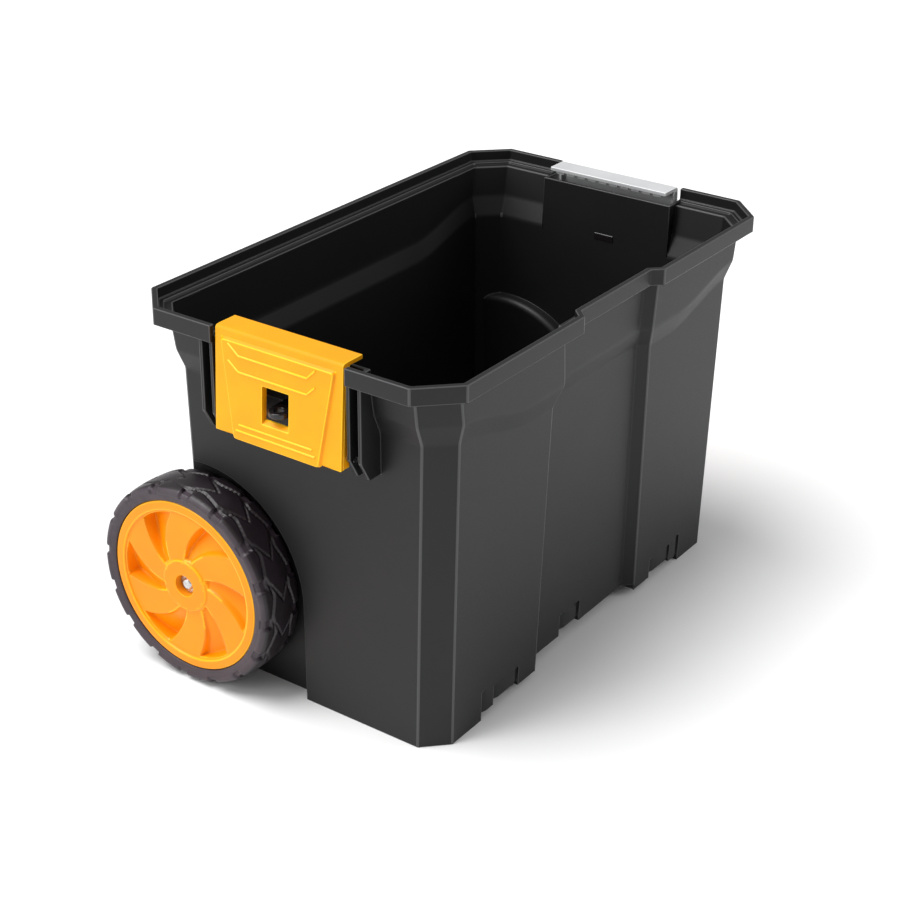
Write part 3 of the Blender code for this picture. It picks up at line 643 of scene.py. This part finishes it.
def tub_inside():
    """Space inside the walls, with the ledge and the gutter under the rim."""
    inset = {"inset": WALL}
    ledge = RIM._replace(z=LEDGE_TOP, inset=RIM_EDGE)
    floor = BASE._replace(z=WALL, inset=WALL + 3.5)
    step = ledge._replace(inset=RIM_EDGE + 4.2)
    gutter = RIM._replace(z=LEDGE_TOP - LEDGE_STEP, inset=RIM_EDGE + 5.0)
    levels = [floor, BASE._replace(z=WALL, **inset), LOWER_WALL._replace(**inset),
              UPPER_WALL._replace(**inset), UPPER_WALL_TOP._replace(z=gutter.z, **inset),
              gutter, step, ledge, ledge._replace(z=TUB_HEIGHT + PAST)]
    radii = (3.0, 2.2, 2.2, 1.2, 0.5, 0.5, 1.0)
    return loft([tub_ring(level) for level in curved_levels(levels, radii)])


def wheel_well(end, grown):
    """Arch over one wheel, open below, with a rounded inner edge; grown by the wall for the inside."""
    radius = WELL_RADIUS + grown
    inner = WELL_OUT - grown
    rounding = WELL_ROUND + grown / 2
    rings = []
    for step in range(5):
        angle = math.pi / 2 * step / 4
        rings.append((radius - rounding * (1 - math.sin(angle)), inner + rounding * (1 - math.cos(angle))))
    rings.append((radius, TYRE_FACE_OUT + PAST))
    made = []
    for reach, out in rings:
        arch = [(AXLE_Y - reach, BELOW)]
        for step in range(41):
            angle = math.pi * (1 - step / 40)
            arch.append((AXLE_Y + reach * math.cos(angle), AXLE_Z + reach * math.sin(angle)))
        arch.append((AXLE_Y + reach, BELOW))
        made.append([Vector((end * out, y, z)) for y, z in arch])
    return loft(made)


def relief(grown):
    """Stepped notches under the front wall; grown makes one plain step over them all."""
    back = RELIEF_BACK + grown
    if grown:
        reach, top = FOOT_X + grown, DRAIN[2] + grown
        return block((-reach, -RIM_SIDE - PAST, BELOW), (reach, back, top))
    half, rise = [], BELOW
    for inward, height in RELIEF_STEPS:
        half += [(FOOT_X - inward, rise), (FOOT_X - inward, height)]
        rise = height
    left, right, top = DRAIN
    notch = [(left, rise), (left, top), (right, top), (right, rise)]
    return prism([(-x, z) for x, z in half] + notch + half[::-1], "Y", -RIM_SIDE - PAST, back)


def front_ramps():
    """Shallow ramps above the steps under the front wall, each deepest where the step stands."""
    spots = [(side * (FOOT_X - inward), side * toward, top, 0.0)
             for inward, toward, top in RAMPS for side in (-1, 1)]
    left, right, top = DRAIN
    spots += [(left, 1, top + RAMP_HEIGHT, RECESS), (right, -1, top + RAMP_HEIGHT, RECESS)]
    ramps = []
    for x, toward, top, back in spots:
        face = back - BASE.side
        outline = [(x, -RIM_SIDE), (x, face + RAMP_DEPTH),
                   (x + toward * RAMP_RUN, face - 0.6), (x + toward * RAMP_RUN, -RIM_SIDE)]
        ramps.append(prism(outline, "Z", BELOW, top))
    return ramps


def bay(end, grown):
    """Space for one latch, cut through the rim and the flare of the wall; grown for the inside.

    The grown one ends just short of the lower wall's inner face, so that the two stay one flat face.
    """
    half = BAY_HALF_WIDTH + grown
    inner = LOWER_WALL.out - grown - 0.02 if grown else BAY_OUT
    near, far = sorted((end * inner, end * (RIM_OUT + PAST)))
    if grown:
        return block((near, -half, SHOULDER_BOTTOM - grown), (far, half, LEDGE_TOP))
    return block((near, -half, CHEEK_FOOT - CHEEK_TAPER - CHEEK), (far, half, TUB_HEIGHT + PAST))


def cheeks(end):
    """Two plates on each side of a bay, hanging from the rim with their lower corners cut back."""
    root, front, top = LOWER_WALL.out - WALL / 2, RIM_OUT - 1.8, LIP_BOTTOM + WALL / 2
    outline = [(root, top), (front, top), (front, CHEEK_FOOT),
               (front - CHEEK_BACK, CHEEK_FOOT - CHEEK_TAPER), (root, CHEEK_FOOT - CHEEK_TAPER)]
    outline = [(end * out, z) for out, z in rounded(outline, CHEEK_ROUND, 3, sharp=(0, 1, 4))]
    inner = BAY_HALF_WIDTH + CHEEK
    outer = inner + CHEEK_GAP
    return [prism(outline, "Y", *sorted((side * low, side * high)))
            for side in (-1, 1)
            for low, high in ((BAY_HALF_WIDTH - CHEEK / 2, inner), (outer, outer + CHEEK))]


def boss(end):
    """Barrel inside a wheel well's wall, round the stub axle, on a rib that stands on the floor."""
    low, high = sorted((end * BOSS_END_OUT, end * (WELL_OUT - WALL / 2)))
    barrel = prism(circle(BOSS_RADIUS, 48, (AXLE_Y, AXLE_Z)), "X", low, high)
    near, far = sorted((end * (BOSS_END_OUT + WALL), end * (WELL_OUT - WALL / 2)))
    half = RIB_THICKNESS / 2
    rib = block((near, AXLE_Y - half, WALL / 2), (far, AXLE_Y + half, AXLE_Z - BOSS_RADIUS / 2))
    return barrel, rib


def end_holes(end):
    """Axle hole, latch pin holes and the slot for the padlock eye."""
    near, far = sorted((end * (BOSS_END_OUT - PAST), end * (WELL_OUT + PAST)))
    reach = BAY_HALF_WIDTH + CHEEK + CHEEK_GAP / 2
    low, high = sorted((end * (BAY_OUT - WALL - PAST), end * (BAY_OUT + PAST)))
    half = EYE_RADIUS + EYE_SLOT_GAP
    return (prism(circle(AXLE_BORE, 32, (AXLE_Y, AXLE_Z)), "X", near, far),
            prism(circle(PIN_BORE, 16, (end * PIN_OUT, PIN_Z)), "Y", -reach, reach),
            block((low, -half, EYE_FOOT - EYE_SLOT_GAP), (high, half, EYE_TOP + EYE_SLOT_GAP)))


def build_tub(material):
    """Cut and join the moulding, and put it in place of the CAD tub."""
    signs = [end for _, end in ENDS]
    inside = carve(tub_inside(), "DIFFERENCE", *(wheel_well(end, WALL) for end in signs),
                   *(bay(end, WALL) for end in signs), relief(WALL))
    shell = carve(tub_outside(), "UNION", *(plate for end in signs for plate in cheeks(end)))
    shell = carve(shell, "DIFFERENCE", *(wheel_well(end, 0.0) for end in signs),
                  *(bay(end, 0.0) for end in signs), relief(0.0), *front_ramps(), inside)
    shell = carve(shell, "UNION", *(part for end in signs for part in boss(end)))
    shell = carve(shell, "DIFFERENCE", *(hole for end in signs for hole in end_holes(end)))
    shell = kept_inside(softened(shell, CUT_ROUND), TUB_LOW, TUB_HIGH)
    place("tub_shell", shell, material, "tub", nodes=("tub_body",))


# Latches

def plate_out(z):
    """How far out the front of the latch plate is at a height."""
    return RIM_OUT + LATCH_PROUD - LATCH_LEAN + LATCH_LEAN * (TUB_HEIGHT - z) / (TUB_HEIGHT - LATCH_FOOT)


def latch_plate():
    """Leaning plate that turns over the rim in a flange, with a full round along the turn."""
    under = LATCH_TOP - LATCH_FLANGE
    tip = plate_out(LATCH_TOP) - LATCH_REACH + 2.5
    outline = [(plate_out(LATCH_FOOT), LATCH_FOOT), (plate_out(LATCH_TOP), LATCH_TOP), (tip, LATCH_TOP),
               (tip, under), (plate_out(under) - LATCH_PLATE, under),
               (plate_out(LATCH_FOOT) - LATCH_PLATE, LATCH_FOOT)]
    return prism(rounded(outline, LATCH_ROUND, 4, sharp=(0, 2, 3, 5)), "Y", -LATCH_HALF, LATCH_HALF)


def latch_panel():
    """Raised middle of the plate, wider at the top than at the foot, with sloping sides."""
    top, foot = TUB_HEIGHT - PANEL_TOP_INSET, LATCH_FOOT - PANEL_DROP
    rings = []
    for proud, inset in ((-LATCH_PLATE / 2, 0.0), (0.0, 0.0), (PANEL_PROUD, PANEL_SLOPE)):
        low, high = foot + inset * 0.4, top - inset
        wide, narrow = PANEL_TOP_HALF - inset, PANEL_FOOT_HALF - inset
        outline = [(-narrow, low), (narrow, low), (wide, high), (-wide, high)]
        rings.append([Vector((plate_out(z) + proud, y, z)) for y, z in rounded(outline, 2.5, 3)])
    return loft(rings)


def ridge(path, width, height):
    """Low rounded bar along a path of (y, z) points on the face of the panel."""
    points = [Vector(point) for point in path]
    profile = [(-0.5, -1.0)] + [(-0.5 * math.cos(math.pi * i / 6), math.sin(math.pi * i / 6))
                                for i in range(7)] + [(0.5, -1.0)]
    rings = []
    for i, at in enumerate(points):
        along = (points[min(i + 1, len(points) - 1)] - points[max(i - 1, 0)]).normalized()
        across = Vector((-along.y, along.x))
        ring = []
        for offset, rise in profile:
            y, z = at + across * offset * width
            ring.append(Vector((plate_out(z) + PANEL_PROUD + rise * height, y, z)))
        rings.append(ring)
    return loft(rings)


def latch_window():
    """Opening over the padlock eye, with a sill that slopes out."""
    face = plate_out(WINDOW_FOOT) + PANEL_PROUD
    top = WINDOW_FOOT + WINDOW_HEIGHT
    outline = [(PIN_OUT, WINDOW_FOOT), (face - 3.4, WINDOW_FOOT), (face + 2.0, WINDOW_FOOT - SILL_DROP),
               (face + 12.0, WINDOW_FOOT - SILL_DROP), (face + 12.0, top + 2.2), (face, top + 1.2),
               (face - 2.4, top), (PIN_OUT, top)]
    return prism(outline, "Y", -WINDOW_HALF, WINDOW_HALF)


def latch_returns():
    """Thin side walls behind the edges of the plate, and the knuckles with their webs."""
    under = LATCH_TOP - LATCH_FLANGE / 2
    back = LATCH_PLATE / 2
    outline = [(plate_out(LATCH_FOOT) - back, LATCH_FOOT), (plate_out(under) - back, under),
               (plate_out(under) - LATCH_PLATE - 5.0, under),
               (plate_out(LATCH_FOOT) - LATCH_PLATE - 7.5, LATCH_FOOT)]
    parts = []
    reach = plate_out(PIN_Z) - LATCH_PLATE / 2
    for side in (-1, 1):
        low, high = sorted((side * (LATCH_HALF - 2.5), side * (LATCH_HALF - 0.3)))
        parts.append(prism(outline, "Y", low, high))
        low, high = sorted((side * (LATCH_HALF - 20.0), side * (LATCH_HALF - 0.6)))
        parts.append(prism(circle(KNUCKLE_RADIUS, 24, (PIN_OUT, PIN_Z)), "Y", low, high))
        parts.append(block((PIN_OUT, low + 0.6, PIN_Z - WEB_HALF), (reach, high - 0.6, PIN_Z + WEB_HALF)))
    return parts


def latch_teeth():
    """Row of short ribs under the tip of the flange, which grip the wall of the bay."""
    tip = plate_out(LATCH_TOP) - LATCH_REACH + 2.5
    start = TEETH_INSET - LATCH_HALF
    pitch = -2 * start / TEETH
    under = LATCH_TOP - LATCH_FLANGE
    return [block((tip + 1.4, start + pitch * i + TOOTH_GAP, under - 2.4),
                  (tip + 4.4, start + pitch * (i + 1) - TOOTH_GAP, under + 1.5))
            for i in range(TEETH)]


def build_latch(label, end, material, slot, ridge_height):
    """Cut and join one flap, and set the bars on its face as closed shells sunk into it."""
    body = carve(latch_plate(), "UNION", latch_panel(), *latch_returns(), *latch_teeth())
    bore = prism(circle(PIN_BORE, 24, (PIN_OUT, PIN_Z)), "Y", -LATCH_HALF - PAST / 2, LATCH_HALF + PAST / 2)
    body = softened(carve(body, "DIFFERENCE", latch_window(), bore), LATCH_CUT_ROUND)
    body = joined(body, *(ridge(path, RIDGE_WIDTH, ridge_height) for path in CHEVRONS + BARS))
    place(f"{label}_latch_flap", body, material, f"{label}_latch", end, (f"{label}_latch",))


def build_eye(label, end, material):
    """Rounded tab through the bay wall, with a head inside and an upright hole for a shackle."""
    centre = EYE_HIGH.x - EYE_RADIUS
    tab = [(EYE_TAIL_OUT, -EYE_RADIUS), (centre, -EYE_RADIUS)]
    tab += [(centre + EYE_RADIUS * math.cos(angle), EYE_RADIUS * math.sin(angle))
            for angle in (math.radians(-82.5 + 7.5 * step) for step in range(23))]
    tab += [(centre, EYE_RADIUS), (EYE_TAIL_OUT, EYE_RADIUS)]
    head = block((HEAD_OUT[0], -HEAD_HALF, EYE_FOOT - HEAD_LIP), (HEAD_OUT[1], HEAD_HALF, EYE_TOP + HEAD_LIP))
    hole = prism(circle(EYE_HOLE, 32, (centre, 0.0)), "Z", EYE_FOOT - PAST, EYE_TOP + PAST)
    mesh = carve(carve(prism(tab, "Z", EYE_FOOT, EYE_TOP), "UNION", head), "DIFFERENCE", hole)
    mesh = softened(mesh, EYE_ROUND, 40.0, 3)
    place(f"{label}_eye", mesh, material, "tub", end, (f"{label}_padlock_eye",))


# Wheels

def pocket_sides(radius):
    """How far along a pocket a radius is, from zero to one, and its two sides there in degrees."""
    along = min(max((radius - POCKET_IN) / (POCKET_OUT - POCKET_IN), 0.0), 1.0)
    return along, POCKET_START - POCKET_START_SWEEP * along, POCKET_END - POCKET_END_SWEEP * along


def hub_angles(radius):
    """Grid lines at a radius, as degrees and the share across a pocket, or -1 on a blade."""
    _, low, high = pocket_sides(radius)
    turn = 360.0 / BLADES
    lines = [(low + (high - low) * share, share) for share in POCKET_SHARES]
    lines += [(high + (low + turn - high) * share, -1.0) for share in BLADE_SHARES]
    return [(angle + turn * blade, share) for blade in range(BLADES) for angle, share in lines]


def hub_sink(radius, share):
    """How far the face is sunk below the ring at a point of the grid; a pocket deepens to one side."""
    field = FIELD_DEPTH * smooth((radius - BOSS_FACE) / 2.0) * smooth((RING_INNER + 1.0 - radius) / 1.2)
    if share < 0.0 or not POCKET_IN <= radius <= POCKET_OUT:
        return field
    along, low, high = pocket_sides(radius)
    width = math.radians(high - low) * radius
    wall = min(share * width, (1.0 - share) * width, radius - POCKET_IN, POCKET_OUT - radius)
    floor = POCKET_DEPTH_IN + POCKET_DEPTH_MORE * smooth(along * 1.15)
    return field + floor * smooth(wall / 2.0) * (0.35 + 0.65 * share)


def hub_rings():
    """Rings of the hub from the mouth across the face, round the barrel and back to the bore."""
    rings = []
    for radius in FACE_RADII:
        edge = max(radius - HUB_RADIUS + 1.2, 0.0, MOUTH + 0.6 - radius)
        rings.append([(radius, angle, HUB_FACE_OUT - hub_sink(radius, share) - edge * 0.6)
                      for angle, share in hub_angles(radius)])
    # Plain rings: radius, the radius whose grid lines they follow, and how far out they lie
    barrel = HUB_RADIUS - HUB_BARREL
    plate_back, mouth_foot = HUB_FACE_OUT - HUB_PLATE, HUB_FACE_OUT - MOUTH_DEPTH
    plain = [(HUB_RADIUS, POCKET_OUT, HUB_FACE_OUT - 1.4), (HUB_RADIUS, POCKET_OUT, HUB_BACK_OUT),
             (barrel, POCKET_OUT, HUB_BACK_OUT), (barrel, POCKET_OUT, plate_back),
             (BOSS_FACE, POCKET_IN, plate_back), (BOSS_FACE, POCKET_IN, HUB_BACK_OUT),
             (AXLE_BORE, POCKET_IN, HUB_BACK_OUT), (AXLE_BORE, POCKET_IN, mouth_foot),
             (MOUTH - 0.6, POCKET_IN, mouth_foot)]
    for radius, swept_at, out in plain:
        rings.append([(radius, angle, out) for angle, _ in hub_angles(swept_at)])
    return rings


def round_axle(rings):
    """Turn rings of (radius, degrees, out) into points about the axle."""
    return [[Vector((out, AXLE_Y + radius * math.cos(math.radians(angle)),
                     AXLE_Z + radius * math.sin(math.radians(angle)))) for radius, angle, out in ring]
            for ring in rings]


def build_hub(label, end, material):
    """One spoked hub, in place of its CAD node."""
    mesh = loft(round_axle(hub_rings()), ring_of_rings=True)
    place(f"{label}_spoked_hub", mesh, material, f"{label}_wheel", end,
          (f"{label}_wheel_hub",), AXLE_Y)


def groove(distance, width):
    """One in the middle of a groove, falling to zero past its edge, in millimetres."""
    return 1.0 - smooth((abs(distance) - width / 2) / 0.9 + 0.5)


def tyre_section():
    """Section of the tyre as (radius, distance from its middle), from the face round to the back."""
    half = TYRE_HALF
    side = [(HUB_RADIUS + 0.3, half - 2.0), (77.2, half - 1.3), (79.5, half - 0.8), (81.0, half - 0.6),
            (82.0, half - 0.5), (82.8, half - 0.2), (83.6, half), (84.8, half), (86.0, half - 0.4),
            (87.0, half - 1.1), (87.8, half - 2.0), (88.4, half - 3.2), (88.8, half - 4.4)]
    flat = half - 5.4
    tread = [(89.0 + math.cos(math.pi / 2 * out / flat) * 0.98, out)
             for out in (flat * (1 - 2 * step / 34) for step in range(35))]
    return side + tread + [(radius, -out) for radius, out in reversed(side)]


def tread_cut(radius, off_middle, phase):
    """Depth of the tread at a point as a share: shoulder gaps, a zig-zag lane each side, slants between."""
    arc = 2 * math.pi * TYRE_RADIUS / TREAD_PITCHES
    start, stop = SHOULDER_GAP
    gap = smooth((phase - start) / 0.04) * smooth((stop - phase) / 0.04)
    shoulder = smooth((radius - 82.4) / 0.8) * smooth((off_middle - SHOULDER_START) / 1.2)
    zigzag = ZIGZAG_OUT + ZIGZAG_SWING * (abs(2 * phase - 1) * 2 - 1)
    lane = groove(off_middle - zigzag, LANE_WIDTH) if off_middle < TYRE_HALF - 4.0 else 0.0
    slant = phase * arc - arc * (0.28 + 0.5 * off_middle / 10.0)
    cut = max(groove(slant + turn * arc, SLANT_WIDTH) for turn in (-1, 0, 1))
    return max(1.35 * gap * shoulder, lane, cut * smooth(SLANT_REACH - off_middle))


def tyre_rings(tread_depth):
    """Rings of the tyre across its section, with the tread cut in."""
    middle = (TYRE_BACK_OUT + TYRE_FACE_OUT) / 2
    steps = TREAD_PITCHES * PITCH_STEPS
    rings = []
    for radius, out in tyre_section():
        side, off_middle = math.copysign(1.0, out), abs(out)
        sideways = smooth((off_middle - TYRE_HALF + 4.5) / 3.5)
        ring = []
        for step in range(steps):
            depth = tread_depth * tread_cut(radius, off_middle, step % PITCH_STEPS / PITCH_STEPS)
            ring.append((radius - depth * (1 - 0.5 * sideways), step * 360.0 / steps,
                         middle + out - side * depth * 0.6 * sideways))
        rings.append(ring)
    return rings


def build_tyre(label, end, tread, sidewall, tread_depth):
    """One tyre, in place of its CAD node, with its sidewalls in their own rubber."""
    mesh = loft(round_axle(tyre_rings(tread_depth)), ring_of_rings=True)
    place(f"{label}_block_tyre", mesh, tread, f"{label}_wheel", end,
          (f"{label}_tyre",), AXLE_Y)
    mesh.materials.append(sidewall)
    for polygon in mesh.polygons:
        centre = polygon.center / MM
        reach = math.hypot(centre.y - AXLE_Y, centre.z - AXLE_Z)
        polygon.material_index = 1 if reach < SIDEWALL_REACH else 0


# Settings, operators and panel

class StageSettings(bpy.types.PropertyGroup):
    """Camera and lights"""
    azimuth: bpy.props.FloatProperty(
        name="Azimuth", description="Direction of the camera from the front, turning towards the right end",
        default=math.radians(-55.135), subtype="ANGLE", unit="ROTATION")
    elevation: bpy.props.FloatProperty(
        name="Elevation", description="Angle of the camera above the floor",
        default=math.radians(26.313), subtype="ANGLE", unit="ROTATION")
    roll: bpy.props.FloatProperty(
        name="Roll", description="Turn of the camera about its own axis",
        default=math.radians(0.76), subtype="ANGLE", unit="ROTATION")
    distance: bpy.props.FloatProperty(
        name="Distance", description="From the camera to the middle of the tub",
        default=1.6505, min=0.5, subtype="DISTANCE", unit="LENGTH")
    key_power: bpy.props.FloatProperty(
        name="Key light", description="Power of the large soft light over the front right corner",
        default=16.0, min=0.0, subtype="POWER", unit="POWER")
    side_power: bpy.props.FloatProperty(
        name="Side light", description="Power of the soft light beyond the rear left corner",
        default=33.0, min=0.0, subtype="POWER", unit="POWER")
    overhead: bpy.props.FloatProperty(
        name="Overhead light", description="Strength of the even light from above, in W/m2",
        default=2.9, min=0.0)
    room: bpy.props.FloatProperty(
        name="Room light", description="Strength of the even light from all round",
        default=0.4, min=0.0)


def colour_property(name, description, colour):
    """Colour that a user can change, with an sRGB hex value as its default."""
    return bpy.props.FloatVectorProperty(
        name=name, description=description, subtype="COLOR", default=linear(colour), min=0.0, max=1.0)


class TubSettings(bpy.types.PropertyGroup):
    """Moulded shell"""
    shell: colour_property("Shell", "Colour of the black polypropylene", "#181819")
    grain: bpy.props.FloatProperty(
        name="Grain", description="Size of the moulded grain as it is drawn",
        default=0.9 * MM, min=0.1 * MM, subtype="DISTANCE", unit="LENGTH")


class LatchSettings(bpy.types.PropertyGroup):
    """Latches and padlock eyes"""
    left_latch: colour_property("Left latch", "Colour of the latch at the left end", "#FFA600")
    right_latch: colour_property("Right latch", "Colour of the latch at the right end", "#C4C5C6")
    eyes: colour_property("Padlock eyes", "Colour of the glossy nylon", "#1A1718")
    ridge_height: bpy.props.FloatProperty(
        name="Ridge height", description="How far the bars stand off the face of a latch",
        default=0.8 * MM, min=0.0, max=1.5 * MM, subtype="DISTANCE", unit="LENGTH")


class WheelSettings(bpy.types.PropertyGroup):
    """Hubs and tyres"""
    hubs: colour_property("Hubs", "Colour of the spoked hubs", "#FF9600")
    treads: colour_property("Treads", "Colour of the rubber on the tread", "#1A1318")
    sidewalls: colour_property("Sidewalls", "Colour of the smooth rubber beside the hub", "#352C33")
    tread_depth: bpy.props.FloatProperty(
        name="Tread depth", description="Depth of the grooves in the tread",
        default=1.8 * MM, min=0.0, max=3.0 * MM, subtype="DISTANCE", unit="LENGTH")


def soft_light(name, power, size, place_at, aim_at):
    """Square area light, aimed at a point; places are in metres."""
    data = bpy.data.lights.new(name, "AREA")
    data.energy = power
    data.size = size
    light = bpy.data.objects.new(name, data)
    light.location = place_at
    light.rotation_euler = (Vector(aim_at) - Vector(place_at)).to_track_quat("-Z", "Y").to_euler()
    bpy.context.scene.collection.objects.link(light)


class TUB_OT_stage(bpy.types.Operator):
    """Set up the floor, the room light, the key, side and overhead lights, and the camera"""
    bl_idname = "tub.stage"
    bl_label = "Stage"

    def execute(self, context):
        settings = context.scene.tub_stage
        world = bpy.data.worlds.new("soft_room")
        world.use_nodes = True
        background = world.node_tree.nodes["Background"]
        background.inputs["Color"].default_value = (1.0, 1.0, 1.0, 1.0)
        background.inputs["Strength"].default_value = settings.room
        context.scene.world = world
        # Colours are shown as they are, with no film curve, so that the plastics keep their strength
        context.scene.view_settings.view_transform = "Standard"

        bm = bmesh.new()
        bmesh.ops.create_circle(bm, cap_ends=True, radius=FLOOR_RADIUS, segments=64)
        mesh = bpy.data.meshes.new("floor")
        bm.to_mesh(mesh)
        bm.free()
        mesh.materials.append(studio_floor())
        floor = bpy.data.objects.new("floor", mesh)
        context.scene.collection.objects.link(floor)

        soft_light("key_light", settings.key_power, KEY_SIZE, KEY_PLACE, LIGHT_AIM)
        soft_light("side_light", settings.side_power, SIDE_SIZE, SIDE_PLACE, LIGHT_AIM)
        sky = bpy.data.objects.new("overhead_light", bpy.data.lights.new("overhead_light", "SUN"))
        sky.data.energy = settings.overhead
        sky.data.angle = math.radians(OVERHEAD_SPREAD)
        sky.rotation_euler = Vector(OVERHEAD_AIM).to_track_quat("-Z", "Y").to_euler()
        context.scene.collection.objects.link(sky)

        lens = bpy.data.cameras.new("camera")
        lens.lens = LENS
        lens.sensor_width = SENSOR
        lens.shift_x, lens.shift_y = LENS_SHIFT
        lens.dof.use_dof = False
        camera = bpy.data.objects.new("camera", lens)
        context.scene.collection.objects.link(camera)
        toward = Vector((math.sin(settings.azimuth) * math.cos(settings.elevation),
                         -math.cos(settings.azimuth) * math.cos(settings.elevation),
                         math.sin(settings.elevation)))
        camera.location = Vector((0.0, 0.0, TUB_HEIGHT * MM / 2)) + toward * settings.distance
        level = (-toward).to_track_quat("-Z", "Y")
        camera.rotation_euler = (level @ Quaternion((0.0, 0.0, 1.0), settings.roll)).to_euler()
        context.scene.camera = camera
        return {"FINISHED"}


class TUB_OT_shell(bpy.types.Operator):
    """Build the moulded tub with its rim, wells, bays and cheeks"""
    bl_idname = "tub.shell"
    bl_label = "Tub shell"

    def execute(self, context):
        settings = context.scene.tub_shell
        # The second colour, #474748, is the painted highlight along the narrow edge faces
        build_tub(moulded("moulded_black_polypropylene", settings.shell, linear("#474748"), 0.46,
                          settings.grain / MM, 0.06, 0.5, Specular_IOR_Level=0.33))
        return {"FINISHED"}


class TUB_OT_latches(bpy.types.Operator):
    """Build the two flap latches and the padlock eyes"""
    bl_idname = "tub.latches"
    bl_label = "Latches and eyes"

    def execute(self, context):
        settings = context.scene.tub_latches
        # The second colour of each plastic is the painted highlight along narrow edge faces; the eyes take
        # their own colour there, so they get none
        yellow = moulded("moulded_yellow_polypropylene", settings.left_latch, linear("#FFC722"), 0.4,
                         1.2, 0.02, 0.4, Specular_IOR_Level=0.25)
        grey = moulded("moulded_pale_grey_polypropylene", settings.right_latch, linear("#E4E5E6"), 0.4,
                       1.2, 0.02, 0.4)
        black = moulded("polished_black_nylon", settings.eyes, settings.eyes, 0.25, 2.0, 0.01, 0.3)
        looks = {"left": (yellow, "yellow_plastic"), "right": (grey, "pale_grey_plastic")}
        for label, end in ENDS:
            build_latch(label, end, *looks[label], settings.ridge_height / MM)
            build_eye(label, end, black)
        return {"FINISHED"}


class TUB_OT_wheels(bpy.types.Operator):
    """Build the two spoked hubs and their block tyres"""
    bl_idname = "tub.wheels"
    bl_label = "Wheels"

    def execute(self, context):
        settings = context.scene.tub_wheels
        # The second colour, #FFB01C, is the painted highlight along the hub's narrow edge faces
        amber = moulded("moulded_amber_polypropylene", settings.hubs, linear("#FFB01C"), 0.36,
                        1.2, 0.02, 0.4, Specular_IOR_Level=0.25)
        tread = rubber("moulded_tyre_rubber", settings.treads, 0.42)
        sidewall = rubber("smooth_sidewall_rubber", settings.sidewalls, 0.5)
        for label, end in ENDS:
            build_hub(label, end, amber)
            build_tyre(label, end, tread, sidewall, settings.tread_depth / MM)
        return {"FINISHED"}


STEEL_NODES = ("stub_axle", "hub_washer", "cap_washer", "push_nut", "boss_washer", "lock_nut", "latch_pin")


class TUB_OT_hardware(bpy.types.Operator):
    """Finish the steel axles, washers, nuts and pins of the frame"""
    bl_idname = "tub.hardware"
    bl_label = "Steel hardware"

    def execute(self, context):
        steel = zinc_steel()
        for label, _ in ENDS:
            for part in STEEL_NODES:
                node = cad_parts[f"{label}_{part}"]
                node.data.materials.clear()
                node.data.materials.append(steel)
        return {"FINISHED"}


class TUB_PT_panel(bpy.types.Panel):
    """Tub settings and build steps"""
    bl_idname = "TUB_PT_panel"
    bl_label = "Wheeled Storage Tub"
    bl_space_type = "VIEW_3D"
    bl_region_type = "UI"
    bl_category = "Tub"

    def draw(self, context):
        layout = self.layout
        for group in SETTINGS:
            settings = getattr(context.scene, group)
            box = layout.box()
            for name in settings.__annotations__:
                box.prop(settings, name)
        for operator in OPERATORS:
            layout.operator(operator.bl_idname)


OPERATORS = (TUB_OT_stage, TUB_OT_shell, TUB_OT_latches, TUB_OT_wheels, TUB_OT_hardware)
SETTINGS = {"tub_stage": StageSettings, "tub_shell": TubSettings, "tub_latches": LatchSettings,
            "tub_wheels": WheelSettings}
CLASSES = (*SETTINGS.values(), *OPERATORS, TUB_PT_panel)


def register():
    for cls in CLASSES:
        bpy.utils.register_class(cls)
    for group, settings in SETTINGS.items():
        setattr(bpy.types.Scene, group, bpy.props.PointerProperty(type=settings))


def unregister():
    for group in SETTINGS:
        delattr(bpy.types.Scene, group)
    for cls in reversed(CLASSES):
        bpy.utils.unregister_class(cls)


def main():
    """Build everything in order."""
    register()
    bpy.ops.tub.stage()
    bpy.ops.tub.shell()
    bpy.ops.tub.latches()
    bpy.ops.tub.wheels()
    bpy.ops.tub.hardware()


if __name__ == "__main__":
    main()
